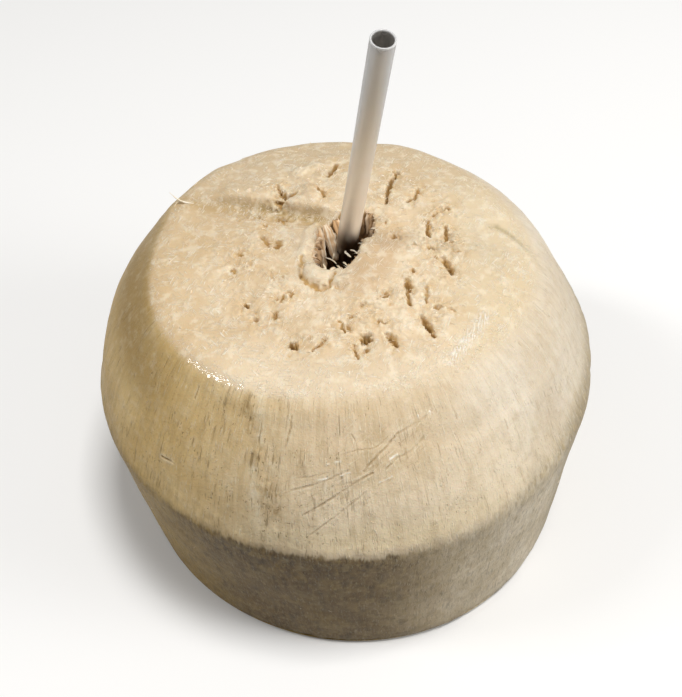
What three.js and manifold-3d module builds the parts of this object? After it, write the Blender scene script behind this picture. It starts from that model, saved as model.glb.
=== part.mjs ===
// A young coconut trimmed for drinking, with a straw standing in the hole in its top.
// Millimetres, +Z up. It stands on its flat cut base at z = 0, centred on the z axis.

import * as THREE from 'three';
import { mergeVertices } from 'three/addons/utils/BufferGeometryUtils.js';
import Module from 'manifold-3d';

const wasm = await Module();
wasm.setup();

// ---------------------------------------------------------------------------
// Driving dimensions
// ---------------------------------------------------------------------------

// The knife leaves four edges round the husk. Each is nearly a circle: `shift` slides it in x
// and y, `oval` and `lobes` pull it out of round by [millimetres, direction in degrees].
const BASE_EDGE = { radius: 60.6, height: 0, shift: [-0.2, 0], oval: [0.3, -82], lobes: [0.7, 57] };
const SHOULDER = { radius: 64.3, height: 50.6, shift: [0.6, -0.1], oval: [0.9, 42], lobes: [0.6, 60] };
const BAND_MIDDLE = { radius: 58, height: 66.4, shift: [-0.6, 0], oval: [0.3, -50], lobes: [0.6, 54] };
const TOP_EDGE = { radius: 46.6, height: 82.9, shift: [0.6, 0.1], oval: [1, -18], lobes: [1.1, -12] };

const BASE_ROUNDING = 2.5;        // how far each rounded edge reaches along the cuts beside it
const SHOULDER_ROUNDING = 3;
const TOP_ROUNDING = 5;
const TOP_ROUNDING_WORN = 14;     // the top edge is worn down on one side
const WORN_SIDE = -30;            // degrees round from +X
const TOP_DOME = 2.2;             // the top cut rises this much from its edge to the middle

// An earlier cut left the back of the top face a little proud, with a low step along its front.
const STEP_START = new THREE.Vector2(-38.5, 20.4);
const STEP_END = new THREE.Vector2(-1, 11.1);
const STEP_HEIGHT = 1.2;
const STEP_WIDTH = 3;
const STEP_FALL = 14;             // the raised part falls away again over this distance

// The straw: a plain 5 mm tube leaning towards the front right.
const STRAW_DIAMETER = 5;
const STRAW_WALL = 0.4;
const STRAW_ENTRY = new THREE.Vector3(2.7, 3.0, 84.3);
const STRAW_EXPOSED = 64.9;
const STRAW_HIDDEN = 36.4;
const STRAW_LEAN = 17;            // degrees from upright
const STRAW_HEADING = -63.8;      // degrees round from +X

// The hole: torn and irregular at the mouth, round further in, closed at its floor.
const MOUTH_CENTRE = [2.0, 2.7];
const MOUTH_RADII = [7.4, 8.4, 10.4, 9.3, 8.4, 8.0, 7.8, 8.3, 9.4, 8.5, 6.9, 6.9];
const MOUTH_TOP = 90;             // the cutter starts clear above the top face
const THROAT = { centre: [1.5, 2.5], radius: 8.4, height: 76 };
const HOLE_MIDDLE = { centre: [0.5, 5.6], radius: 7.3, height: 64 };
const HOLE_FLOOR = { centre: [-1.3, 9.4], radius: 6.8, height: 48.4 };

// Mesh fineness
const SEGMENTS = 96;
const HOLE_SEGMENTS = 36;
const STRAW_SEGMENTS = 32;

// ---------------------------------------------------------------------------
// Shape of the trimmed husk
// ---------------------------------------------------------------------------

// Radius of one knife edge at an angle in radians.
function edgeRadius(edge, angle) {
  const [shiftX, shiftY] = edge.shift;
  const [ovalSize, ovalTurn] = edge.oval;
  const [lobeSize, lobeTurn] = edge.lobes;
  const oval = ovalSize * Math.cos(2 * (angle - THREE.MathUtils.degToRad(ovalTurn)));
  const lobes = lobeSize * Math.cos(3 * (angle - THREE.MathUtils.degToRad(lobeTurn)));
  return edge.radius + shiftX * Math.cos(angle) + shiftY * Math.sin(angle) + oval + lobes;
}

// The same edge as a point of the profile: radius outwards, height upwards.
function edgePoint(edge, angle) {
  return new THREE.Vector2(edgeRadius(edge, angle), edge.height);
}

// How far the top edge is rounded at an angle: widest on the worn side.
function topRounding(angle) {
  const facing = Math.cos(angle - THREE.MathUtils.degToRad(WORN_SIDE));
  const worn = THREE.MathUtils.smoothstep(facing, 0, 1);
  return THREE.MathUtils.lerp(TOP_ROUNDING, TOP_ROUNDING_WORN, worn);
}

// Extra height of the part of the top face behind the step.
function stepHeight(x, y) {
  const along = STEP_END.clone().sub(STEP_START).normalize();
  const fromStart = new THREE.Vector2(x, y).sub(STEP_START);
  const behind = along.cross(fromStart);
  const beyondEnd = fromStart.dot(along) - STEP_START.distanceTo(STEP_END);
  const rise = THREE.MathUtils.smoothstep(behind, 0, STEP_WIDTH);
  const fall = Math.exp(-Math.max(behind - STEP_WIDTH, 0) / STEP_FALL);
  const fade = 1 - THREE.MathUtils.smoothstep(beyondEnd, -4, 8);
  return STEP_HEIGHT * rise * fall * fade;
}

// Points of a rounded corner at b between a and c, starting and ending `reach` away from it.
function roundedCorner(a, b, c, reach, steps) {
  const start = b.clone().add(a.clone().sub(b).setLength(reach));
  const end = b.clone().add(c.clone().sub(b).setLength(reach));
  return new THREE.QuadraticBezierCurve(start, b, end).getPoints(steps);
}

// Points of one smooth bulging curve from a to c that passes b halfway.
function curveThrough(a, b, c, steps) {
  const pull = b.clone().multiplyScalar(2).addScaledVector(a, -0.5).addScaledVector(c, -0.5);
  return new THREE.QuadraticBezierCurve(a, pull, c).getPoints(steps);
}

// The husk's outline at one angle, from the edge of the base up to the inner end of the
// top edge's rounding.
function huskProfile(angle) {
  const axisLow = new THREE.Vector2(0, BASE_EDGE.height);
  const axisHigh = new THREE.Vector2(0, TOP_EDGE.height + TOP_DOME);
  const base = edgePoint(BASE_EDGE, angle);
  const shoulder = edgePoint(SHOULDER, angle);
  const middle = edgePoint(BAND_MIDDLE, angle);
  const top = edgePoint(TOP_EDGE, angle);
  const baseCorner = roundedCorner(axisLow, base, shoulder, BASE_ROUNDING, 3);
  const shoulderCorner = roundedCorner(base, shoulder, middle, SHOULDER_ROUNDING, 4);
  const topCorner = roundedCorner(middle, top, axisHigh, topRounding(angle), 6);
  const lowerBand = new THREE.LineCurve(baseCorner.at(-1), shoulderCorner[0]).getPoints(3);
  const upperBand = curveThrough(shoulderCorner.at(-1), middle, topCorner[0], 8);
  return [
    ...baseCorner,
    ...lowerBand.slice(1, -1),
    ...shoulderCorner,
    ...upperBand.slice(1, -1),
    ...topCorner,
  ];
}

// ---------------------------------------------------------------------------
// Solids
// ---------------------------------------------------------------------------

// A closed skin over a stack of rings, each an array of as many Vector3, counter-clockwise
// seen from above, listed from the bottom up and closed by a point at each end.
function stackedRings(bottomPoint, rings, topPoint) {
  const sides = rings[0].length;
  const points = [bottomPoint, ...rings.flat(), topPoint];
  const topIndex = points.length - 1;
  const faces = [];
  const at = (ring, side) => 1 + ring * sides + (side % sides);
  for (let side = 0; side < sides; side += 1) {
    faces.push(0, at(0, side + 1), at(0, side));
    faces.push(topIndex, at(rings.length - 1, side), at(rings.length - 1, side + 1));
  }
  for (let ring = 0; ring < rings.length - 1; ring += 1) {
    for (let side = 0; side < sides; side += 1) {
      faces.push(at(ring, side), at(ring, side + 1), at(ring + 1, side + 1));
      faces.push(at(ring, side), at(ring + 1, side + 1), at(ring + 1, side));
    }
  }
  const geometry = new THREE.BufferGeometry().setFromPoints(points);
  geometry.setIndex(faces);
  return geometry;
}

// The husk without its hole.
function huskGeometry() {
  const angles = Array.from({ length: SEGMENTS }, (_, i) => (2 * Math.PI * i) / SEGMENTS);
  const profiles = angles.map(huskProfile);
  const centreHeight = TOP_EDGE.height + TOP_DOME;
  const rings = profiles[0].map((_, row) => angles.map((angle, i) => {
    const point = profiles[i][row];
    return new THREE.Vector3(point.x * Math.cos(angle), point.x * Math.sin(angle), point.y);
  }));
  const faceRim = rings.at(-1);
  for (const share of [0.88, 0.76, 0.64, 0.52, 0.4, 0.25]) {
    rings.push(faceRim.map((rim) => new THREE.Vector3(
      rim.x * share,
      rim.y * share,
      THREE.MathUtils.lerp(centreHeight, rim.z, share * share),
    )));
  }
  const topRings = rings.slice(-9);
  for (const point of topRings.flat()) {
    point.z += stepHeight(point.x, point.y);
  }
  const bottom = new THREE.Vector3(0, 0, BASE_EDGE.height);
  const top = new THREE.Vector3(0, 0, centreHeight + stepHeight(0, 0));
  return stackedRings(bottom, rings, top);
}

// One round ring of the hole.
function holeRing({ centre, radius, height }) {
  return Array.from({ length: HOLE_SEGMENTS }, (_, i) => {
    const angle = (2 * Math.PI * i) / HOLE_SEGMENTS;
    const x = centre[0] + radius * Math.cos(angle);
    const y = centre[1] + radius * Math.sin(angle);
    return new THREE.Vector3(x, y, height);
  });
}

// The torn mouth's ring: a smooth closed curve through the mouth's radii.
function mouthRing(height) {
  const corners = MOUTH_RADII.map((radius, i) => {
    const angle = (2 * Math.PI * i) / MOUTH_RADII.length;
    const x = MOUTH_CENTRE[0] + radius * Math.cos(angle);
    const y = MOUTH_CENTRE[1] + radius * Math.sin(angle);
    return new THREE.Vector3(x, y, height);
  });
  return new THREE.CatmullRomCurve3(corners, true).getPoints(HOLE_SEGMENTS).slice(0, -1);
}

// The space that the hole takes out of the husk.
function holeGeometry() {
  const mouthBottom = TOP_EDGE.height - 1;
  const rings = [HOLE_FLOOR, HOLE_MIDDLE, THROAT].map(holeRing);
  rings.push(mouthRing(mouthBottom), mouthRing(MOUTH_TOP));
  const floor = new THREE.Vector3(...HOLE_FLOOR.centre, HOLE_FLOOR.height);
  const lid = new THREE.Vector3(...MOUTH_CENTRE, MOUTH_TOP);
  return stackedRings(floor, rings, lid);
}

// A geometry as a manifold solid.
function toSolid(geometry) {
  const merged = mergeVertices(geometry);
  return new wasm.Manifold(new wasm.Mesh({
    numProp: 3,
    vertProperties: merged.attributes.position.array,
    triVerts: new Uint32Array(merged.index.array),
  }));
}

// A manifold solid as a geometry.
function toGeometry(solid) {
  const mesh = solid.getMesh();
  const geometry = new THREE.BufferGeometry();
  geometry.setAttribute('position', new THREE.BufferAttribute(mesh.vertProperties, 3));
  geometry.setIndex(new THREE.BufferAttribute(mesh.triVerts, 1));
  geometry.computeVertexNormals();
  return geometry;
}

// ---------------------------------------------------------------------------
// Sub-parts
// ---------------------------------------------------------------------------

function coconut() {
  const solid = toSolid(huskGeometry()).subtract(toSolid(holeGeometry()));
  const flesh = new THREE.MeshStandardMaterial({ color: '#e3d0b0', roughness: 0.75, metalness: 0 });
  const mesh = new THREE.Mesh(toGeometry(solid), flesh);
  mesh.name = 'coconut';
  return mesh;
}

function drinkingStraw() {
  const outer = STRAW_DIAMETER / 2;
  const inner = outer - STRAW_WALL;
  const length = STRAW_EXPOSED + STRAW_HIDDEN;
  const wall = [[outer, 0], [outer, length], [inner, length], [inner, 0], [outer, 0]];
  const outline = wall.map(([radius, along]) => new THREE.Vector2(radius, along));
  const frosted = new THREE.MeshStandardMaterial({
    color: '#dedad2',
    roughness: 0.4,
    metalness: 0,
    transparent: true,
    opacity: 0.6,
  });
  const mesh = new THREE.Mesh(new THREE.LatheGeometry(outline, STRAW_SEGMENTS), frosted);
  mesh.name = 'drinking_straw';
  const lean = THREE.MathUtils.degToRad(STRAW_LEAN);
  const heading = THREE.MathUtils.degToRad(STRAW_HEADING);
  const sideways = Math.sin(lean);
  const axis = new THREE.Vector3(
    sideways * Math.cos(heading),
    sideways * Math.sin(heading),
    Math.cos(lean),
  );
  mesh.quaternion.setFromUnitVectors(new THREE.Vector3(0, 1, 0), axis);
  mesh.position.copy(STRAW_ENTRY).addScaledVector(axis, -STRAW_HIDDEN);
  return mesh;
}

const drinkingCoconut = new THREE.Group();
drinkingCoconut.add(coconut());
drinkingCoconut.add(drinkingStraw());

export default drinkingCoconut;
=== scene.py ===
# %% [markdown]
# # The drinking coconut
#
# A young coconut is sold for drinking with its green skin pared away. What the knife leaves is
# husk: a pale, moist, fibrous flesh, cut with a flat base, a nearly upright lower band, a bulging
# upper band and a flat top. A hole is torn through the soft top, and a straw stands in it.
#
# The lesson builds it in this order: the camera and the light, the cut shape of the husk, the
# torn detail of its top, the hole, the husk's finish, the loose fibres, and the straw.

# %% Load the fixed frame
import math
import random

import bmesh
import bpy
import numpy as np
from mathutils import Matrix, Quaternion, Vector, noise
from mathutils.geometry import delaunay_2d_cdt


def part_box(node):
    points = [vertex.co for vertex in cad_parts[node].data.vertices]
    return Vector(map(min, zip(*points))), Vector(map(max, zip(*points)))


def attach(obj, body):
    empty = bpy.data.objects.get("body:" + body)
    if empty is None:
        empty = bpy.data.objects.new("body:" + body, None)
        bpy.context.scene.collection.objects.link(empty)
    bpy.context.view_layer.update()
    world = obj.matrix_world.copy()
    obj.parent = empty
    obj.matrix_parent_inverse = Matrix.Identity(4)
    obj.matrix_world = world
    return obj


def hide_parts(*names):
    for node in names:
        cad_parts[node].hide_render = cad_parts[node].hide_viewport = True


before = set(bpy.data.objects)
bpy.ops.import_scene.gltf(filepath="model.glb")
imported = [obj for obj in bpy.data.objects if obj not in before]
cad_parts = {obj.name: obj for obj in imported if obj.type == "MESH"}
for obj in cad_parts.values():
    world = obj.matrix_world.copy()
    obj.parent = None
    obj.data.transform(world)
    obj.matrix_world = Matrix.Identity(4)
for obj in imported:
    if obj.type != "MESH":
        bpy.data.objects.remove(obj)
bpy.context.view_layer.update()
husk_low, husk_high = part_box("coconut")
straw_low, straw_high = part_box("drinking_straw")
MM = 0.001
print("husk, mm:", [round((b - a) / MM, 1) for a, b in zip(husk_low, husk_high)])
print("straw, mm:", [round((b - a) / MM, 1) for a, b in zip(straw_low, straw_high)])

# %% [markdown]
# ## Camera
#
# The camera looks down at about 48 degrees on the front, close enough for the base to look
# narrower than the shoulder. It is tipped a little to one side, which takes some of the lean off
# the straw. A position, an aim point and a roll say all that.

# %% Camera
camera_position = Vector((0, -168.5, 237.4)) * MM
camera_aim = Vector((-1.1, 0, 48)) * MM
CAMERA_ROLL = -4.65     # degrees
CAMERA_LENS = 49.07     # millimetres, for a 36 mm long side

camera_data = bpy.data.cameras.new("camera")
camera_data.lens = CAMERA_LENS
camera_data.clip_start = 0.01
camera = bpy.data.objects.new("camera", camera_data)
bpy.context.scene.collection.objects.link(camera)
bpy.context.scene.camera = camera
camera.rotation_mode = "QUATERNION"
camera.location = camera_position
aimed = (camera_aim - camera_position).to_track_quat("-Z", "Y")
camera.rotation_quaternion = aimed @ Quaternion((0, 0, 1), math.radians(CAMERA_ROLL))
print("camera distance, mm:", round((camera_aim - camera_position).length / MM))

# %% [markdown]
# ## Nodes and colours
#
# Every material and Geometry Nodes tree below is made by one small function, which adds a node,
# changes its settings and fills its inputs with numbers or links. Colours are written as sRGB
# hex values, as a painter would pick them, and one function turns them linear for the shader.

# %% Helpers for nodes and colours
def linear(hex_colour):
    """An sRGB colour such as #c8a070 as linear red, green, blue and alpha."""
    channels = [int(hex_colour[i:i + 2], 16) / 255 for i in (1, 3, 5)]
    curve = [c / 12.92 if c <= 0.04045 else ((c + 0.055) / 1.055) ** 2.4 for c in channels]
    return (*curve, 1.0)


def add(tree, kind, settings=None, **inputs):
    """Adds a node. An input is named by its socket, with _ for a space, or by in0, in1 and so on.
    A node given as a value stands for its first output in use."""
    node = tree.nodes.new(kind)
    for name, value in (settings or {}).items():
        setattr(node, name, value)
    for name, value in inputs.items():
        is_index = name[:2] == "in" and name[2:].isdigit()
        socket = node.inputs[int(name[2:]) if is_index else name.replace("_", " ")]
        if isinstance(value, bpy.types.Node):
            value = next(output for output in value.outputs if output.enabled)
        if isinstance(value, bpy.types.NodeSocket):
            tree.links.new(value, socket)
        else:
            socket.default_value = value
    return node


# Settings that come back often. With MIX, in0 is the share of the second colour, and in6 and in7 are
# the two colours. With SMOOTH, in0 is the value, in1 and in2 are the range it comes from, and in3 and
# in4 the range it goes to, which is 0 to 1 if left out. With STRETCH, Scale is the size along each
# axis, in metres, of what a noise of scale 1 draws. Elsewhere a noise's scale is 1 over that size.
MIX = {"data_type": "RGBA"}
SMOOTH = {"interpolation_type": "SMOOTHSTEP"}
STRETCH = {"vector_type": "TEXTURE"}
ADD = {"operation": "ADD"}
SUBTRACT = {"operation": "SUBTRACT"}
MULTIPLY = {"operation": "MULTIPLY"}
DIVIDE = {"operation": "DIVIDE"}
POWER = {"operation": "POWER"}
MAXIMUM = {"operation": "MAXIMUM"}

print("cream in linear light:", [round(c, 3) for c in linear("#ead9bb")[:3]])

# %% [markdown]
# ## Cut shape of the husk
#
# The knife leaves four edges round the husk: at the base, at the shoulder, half way up the
# upper band and at the top. Each is nearly a circle, a little oval and a little three-sided,
# because the cuts were made by hand. A profile is drawn through those edges at every angle and
# the profiles are swept into rings. A lathe profile would be perfectly round, and a sculpted
# ball would lose the crisp cuts, so the sweep with a changing profile is the better way.

# %% Edges left by the knife
EDGES = {
    "base": {"radius": 60.6, "height": 0, "shift": (-0.2, 0), "oval": (0.3, -82), "lobes": (0.7, 57)},
    "shoulder": {"radius": 64.3, "height": 50.6, "shift": (0.6, -0.1), "oval": (0.9, 42), "lobes": (0.6, 60)},
    "band": {"radius": 58, "height": 66.4, "shift": (-0.6, 0), "oval": (0.3, -50), "lobes": (0.6, 54)},
    "top": {"radius": 46.6, "height": 82.9, "shift": (0.6, 0.1), "oval": (1.0, -18), "lobes": (1.1, -12)},
}
BASE_ROUNDING = 2.5
SHOULDER_ROUNDING = 3.0
TOP_ROUNDING = 5.0
TOP_ROUNDING_WORN = 14.0
WORN_SIDE = -30          # degrees round from +X, where the top edge is worn down
TOP_DOME = 2.2
FACE_CENTRE_HEIGHT = EDGES["top"]["height"] + TOP_DOME

FINE_COLUMNS = 480       # round the upper band and the top, where the detail is
COARSE_COLUMNS = FINE_COLUMNS // 2
angles = np.arange(FINE_COLUMNS) * 2 * math.pi / FINE_COLUMNS


def smoothstep(values, low, high):
    """0 below low, 1 above high, and smooth between."""
    share = np.clip((values - low) / (high - low), 0, 1)
    return share * share * (3 - 2 * share)


def edge_points(name):
    """One knife edge as (radius, height) for every angle."""
    edge = EDGES[name]
    oval_size, oval_turn = edge["oval"]
    lobe_size, lobe_turn = edge["lobes"]
    radius = edge["radius"] + edge["shift"][0] * np.cos(angles) + edge["shift"][1] * np.sin(angles)
    radius = radius + oval_size * np.cos(2 * (angles - math.radians(oval_turn)))
    radius = radius + lobe_size * np.cos(3 * (angles - math.radians(lobe_turn)))
    return np.stack([radius, np.full_like(radius, edge["height"])], axis=1)


def bezier(start, pull, end, steps):
    """Rows of a curve from start to end, drawn towards pull."""
    shares = np.linspace(0, 1, steps + 1)
    return [(1 - t) ** 2 * start + 2 * t * (1 - t) * pull + t * t * end for t in shares]


def rounded_corner(before, corner, after, reach, steps):
    """Rows of a rounded corner that starts and ends `reach` away from its tip."""
    to_before = before - corner
    to_after = after - corner
    reach = np.reshape(reach * np.ones(FINE_COLUMNS), (-1, 1))
    start = corner + to_before / np.linalg.norm(to_before, axis=1, keepdims=True) * reach
    end = corner + to_after / np.linalg.norm(to_after, axis=1, keepdims=True) * reach
    return bezier(start, corner, end, steps)


def line(start, end, steps):
    """Rows of a straight line, without its two ends."""
    return [start + (end - start) * t for t in np.linspace(0, 1, steps + 1)[1:-1]]


print("widest radius, mm:", round(float(edge_points("shoulder")[:, 0].max()), 2))

# %% Rings of the outside, from the base up to the flat of the top
on_axis_low = np.zeros((FINE_COLUMNS, 2))
on_axis_high = np.tile([0.0, FACE_CENTRE_HEIGHT], (FINE_COLUMNS, 1))
worn = smoothstep(np.cos(angles - math.radians(WORN_SIDE)), 0, 1)
top_rounding = TOP_ROUNDING + (TOP_ROUNDING_WORN - TOP_ROUNDING) * worn

base, shoulder, band, top = [edge_points(name) for name in ("base", "shoulder", "band", "top")]
base_corner = rounded_corner(on_axis_low, base, shoulder, BASE_ROUNDING, 4)
shoulder_corner = rounded_corner(base, shoulder, band, SHOULDER_ROUNDING, 8)
top_corner = rounded_corner(band, top, on_axis_high, top_rounding, 16)
base_rings = line(on_axis_low, base_corner[0], 6)
lower_rings = line(base_corner[-1], shoulder_corner[0], 30)
pull = 2 * band - 0.5 * shoulder_corner[-1] - 0.5 * top_corner[0]
upper_rings = bezier(shoulder_corner[-1], pull, top_corner[0], 40)[1:-1]

outside = np.array(base_rings + base_corner + lower_rings + shoulder_corner + upper_rings + top_corner)
coarse_rows = len(base_rings) + len(base_corner) + len(lower_rings)
band_start = coarse_rows + len(shoulder_corner)
corner_start = len(outside) - len(top_corner)
print("rings outside:", len(outside), "of which coarse:", coarse_rows)

# %% [markdown]
# ## Ridges between the strokes of the knife
#
# The upper band was cut in a few long strokes, so it isn't quite a smooth cone. Each stroke is
# a little flatter than the curve it follows, and two strokes meet in a soft upright ridge. The
# ridges are where the angles of this list say, and the flats sink a little between them.

# %% Flats on the upper band
RIDGES = [-158, -112, -66, -22, 24, 66, 110, 156]    # degrees round from +X
FLAT_DEPTH = 0.55                                      # mm, at the middle of a flat


def flat_sink(turn):
    """How deep the flats lie at an angle in degrees: 0 on a ridge, 1 at the middle of a flat."""
    ridges = np.array(RIDGES + [RIDGES[0] + 360], float)
    turn = (turn - ridges[0]) % 360 + ridges[0]
    after = np.clip(np.searchsorted(ridges, turn, side="right"), 1, len(ridges) - 1)
    share = (turn - ridges[after - 1]) / (ridges[after] - ridges[after - 1])
    return np.clip(4 * share * (1 - share), 0, 1)


row_numbers = np.arange(len(outside))
on_band = smoothstep(row_numbers, coarse_rows + 3, band_start + 6)
on_band = on_band * (1 - smoothstep(row_numbers, corner_start, len(outside) - 6))
outside[:, :, 0] -= FLAT_DEPTH * on_band[:, None] * flat_sink(np.degrees(angles))[None, :]
print("flats:", len(RIDGES), "sunk by up to", FLAT_DEPTH, "mm")

# %% [markdown]
# ## The husk laid out flat
#
# The detail isn't even: a crack in the top is half a millimetre wide, while the lower band is
# nearly plain. A grid would waste its points on the plain parts. So the outside is laid out
# flat, with the top as it is and the sides folded out round it. Points are strewn over that
# layout, close together where there is detail, joined into triangles, and folded back.

# %% Sides measured by the length down from the rim of the top
side = outside[::-1][:len(outside) - len(base_rings)]
step_lengths = np.linalg.norm(np.diff(side, axis=0), axis=2)
run_lengths = np.vstack([np.zeros(FINE_COLUMNS), np.cumsum(step_lengths, axis=0)])
side_length = run_lengths[-1]
rim_radius = side[0, :, 0]
rim_height = side[0, :, 1]
edge_reach = rim_radius + run_lengths[len(top_corner) // 2]

SIDE_ROWS = 400
side_shares = np.linspace(0, 1, SIDE_ROWS)
even_side = np.empty((FINE_COLUMNS, SIDE_ROWS, 2))
for column in range(FINE_COLUMNS):
    wanted = side_shares * side_length[column]
    for k in (0, 1):
        even_side[column, :, k] = np.interp(wanted, run_lengths[:, column], side[:, column, k])


def around(values, turn):
    """A value kept for every column, read at any angle."""
    place = turn / (2 * math.pi) * FINE_COLUMNS
    first = np.floor(place).astype(int) % FINE_COLUMNS
    share = place - np.floor(place)
    share = share.reshape(share.shape + (1,) * (values.ndim - 1))
    return values[first] * (1 - share) + values[(first + 1) % FINE_COLUMNS] * share


def side_section(turn, share):
    """Radius and height on the side at any angle and any share of the way down."""
    row = np.clip(share, 0, 1) * (SIDE_ROWS - 1)
    first = np.minimum(np.floor(row).astype(int), SIDE_ROWS - 2)
    part = (row - first)[:, None]
    columns = around(even_side, turn)
    rows = np.arange(len(turn))
    return columns[rows, first] * (1 - part) + columns[rows, first + 1] * part


print("side, rim to base, mm:", round(float(side_length.mean()), 1))

# %% Step where two cuts of the top meet
STEP_START = np.array([-39.0, 24.0])
STEP_END = np.array([-1.5, 10.0])
STEP_HEIGHT = 1.8
STEP_WIDTH = 2.2
STEP_FALL = 16.0
STEP_TROUGH = 1.0


def step_height(plan):
    """Height of the part of the top that a second cut left standing at the back."""
    along = (STEP_END - STEP_START) / np.linalg.norm(STEP_END - STEP_START)
    from_start = plan - STEP_START
    behind = along[0] * from_start[:, 1] - along[1] * from_start[:, 0]
    beyond = (plan - STEP_END) @ along
    rise = smoothstep(behind, 0, STEP_WIDTH) * np.exp(-np.maximum(behind - STEP_WIDTH, 0) / STEP_FALL)
    trough = np.exp(-((behind + 2.0) / 2.8) ** 2)
    return (STEP_HEIGHT * rise - STEP_TROUGH * trough) * (1 - smoothstep(beyond, -4, 8))


def polar(plan):
    """Angle, distance from the axis and radius of the rim for points of the layout."""
    turn = np.arctan2(plan[:, 1], plan[:, 0]) % (2 * math.pi)
    return turn, np.hypot(plan[:, 0], plan[:, 1]), around(rim_radius, turn)


def fold(plan):
    """Carries points of the flat layout to the cut shape of the husk."""
    turn, reach, rim = polar(plan)
    section = np.empty((len(plan), 2))
    for part in np.array_split(np.arange(len(plan)), 40):
        share = (reach[part] - rim[part]) / around(side_length, turn[part])
        section[part] = side_section(turn[part], share)
    share = reach / rim
    height = FACE_CENTRE_HEIGHT + (around(rim_height, turn) - FACE_CENTRE_HEIGHT) * share ** 2
    height = height + step_height(plan) * (1 - np.clip(share, 0, 1) ** 8)
    on_top = reach < rim
    radius = np.where(on_top, reach, section[:, 0])
    height = np.where(on_top, height, section[:, 1])
    return np.stack([radius * np.cos(turn), radius * np.sin(turn), height], axis=1)


def lay_out(turn_degrees, height):
    """The place in the layout of a point of the side, from its angle in degrees and height."""
    turn = math.radians(turn_degrees) % (2 * math.pi)
    column = int(round(turn / (2 * math.pi) * FINE_COLUMNS)) % FINE_COLUMNS
    share = np.interp(-height, -even_side[column, :, 1], side_shares)
    reach = rim_radius[column] + share * side_length[column]
    return (reach * math.cos(turn), reach * math.sin(turn))


print("front of the shoulder in the layout, mm:", [round(v, 1) for v in lay_out(-90, 50.6)])

# %% [markdown]
# ## Torn detail of the top
#
# Round the hole the husk is soft, and a tool was pushed into it many times before it gave way.
# That leaves pits, slits and cracks, torn rather than cut, with ragged raised lips. Each one is
# a short stroke: a width, a depth and the places it runs through, in millimetres on the top.
# Strokes beat random noise here, because their sizes and spacing are what makes them read as
# stabs of a tool. The noise comes after, to roughen their outlines.

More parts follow.
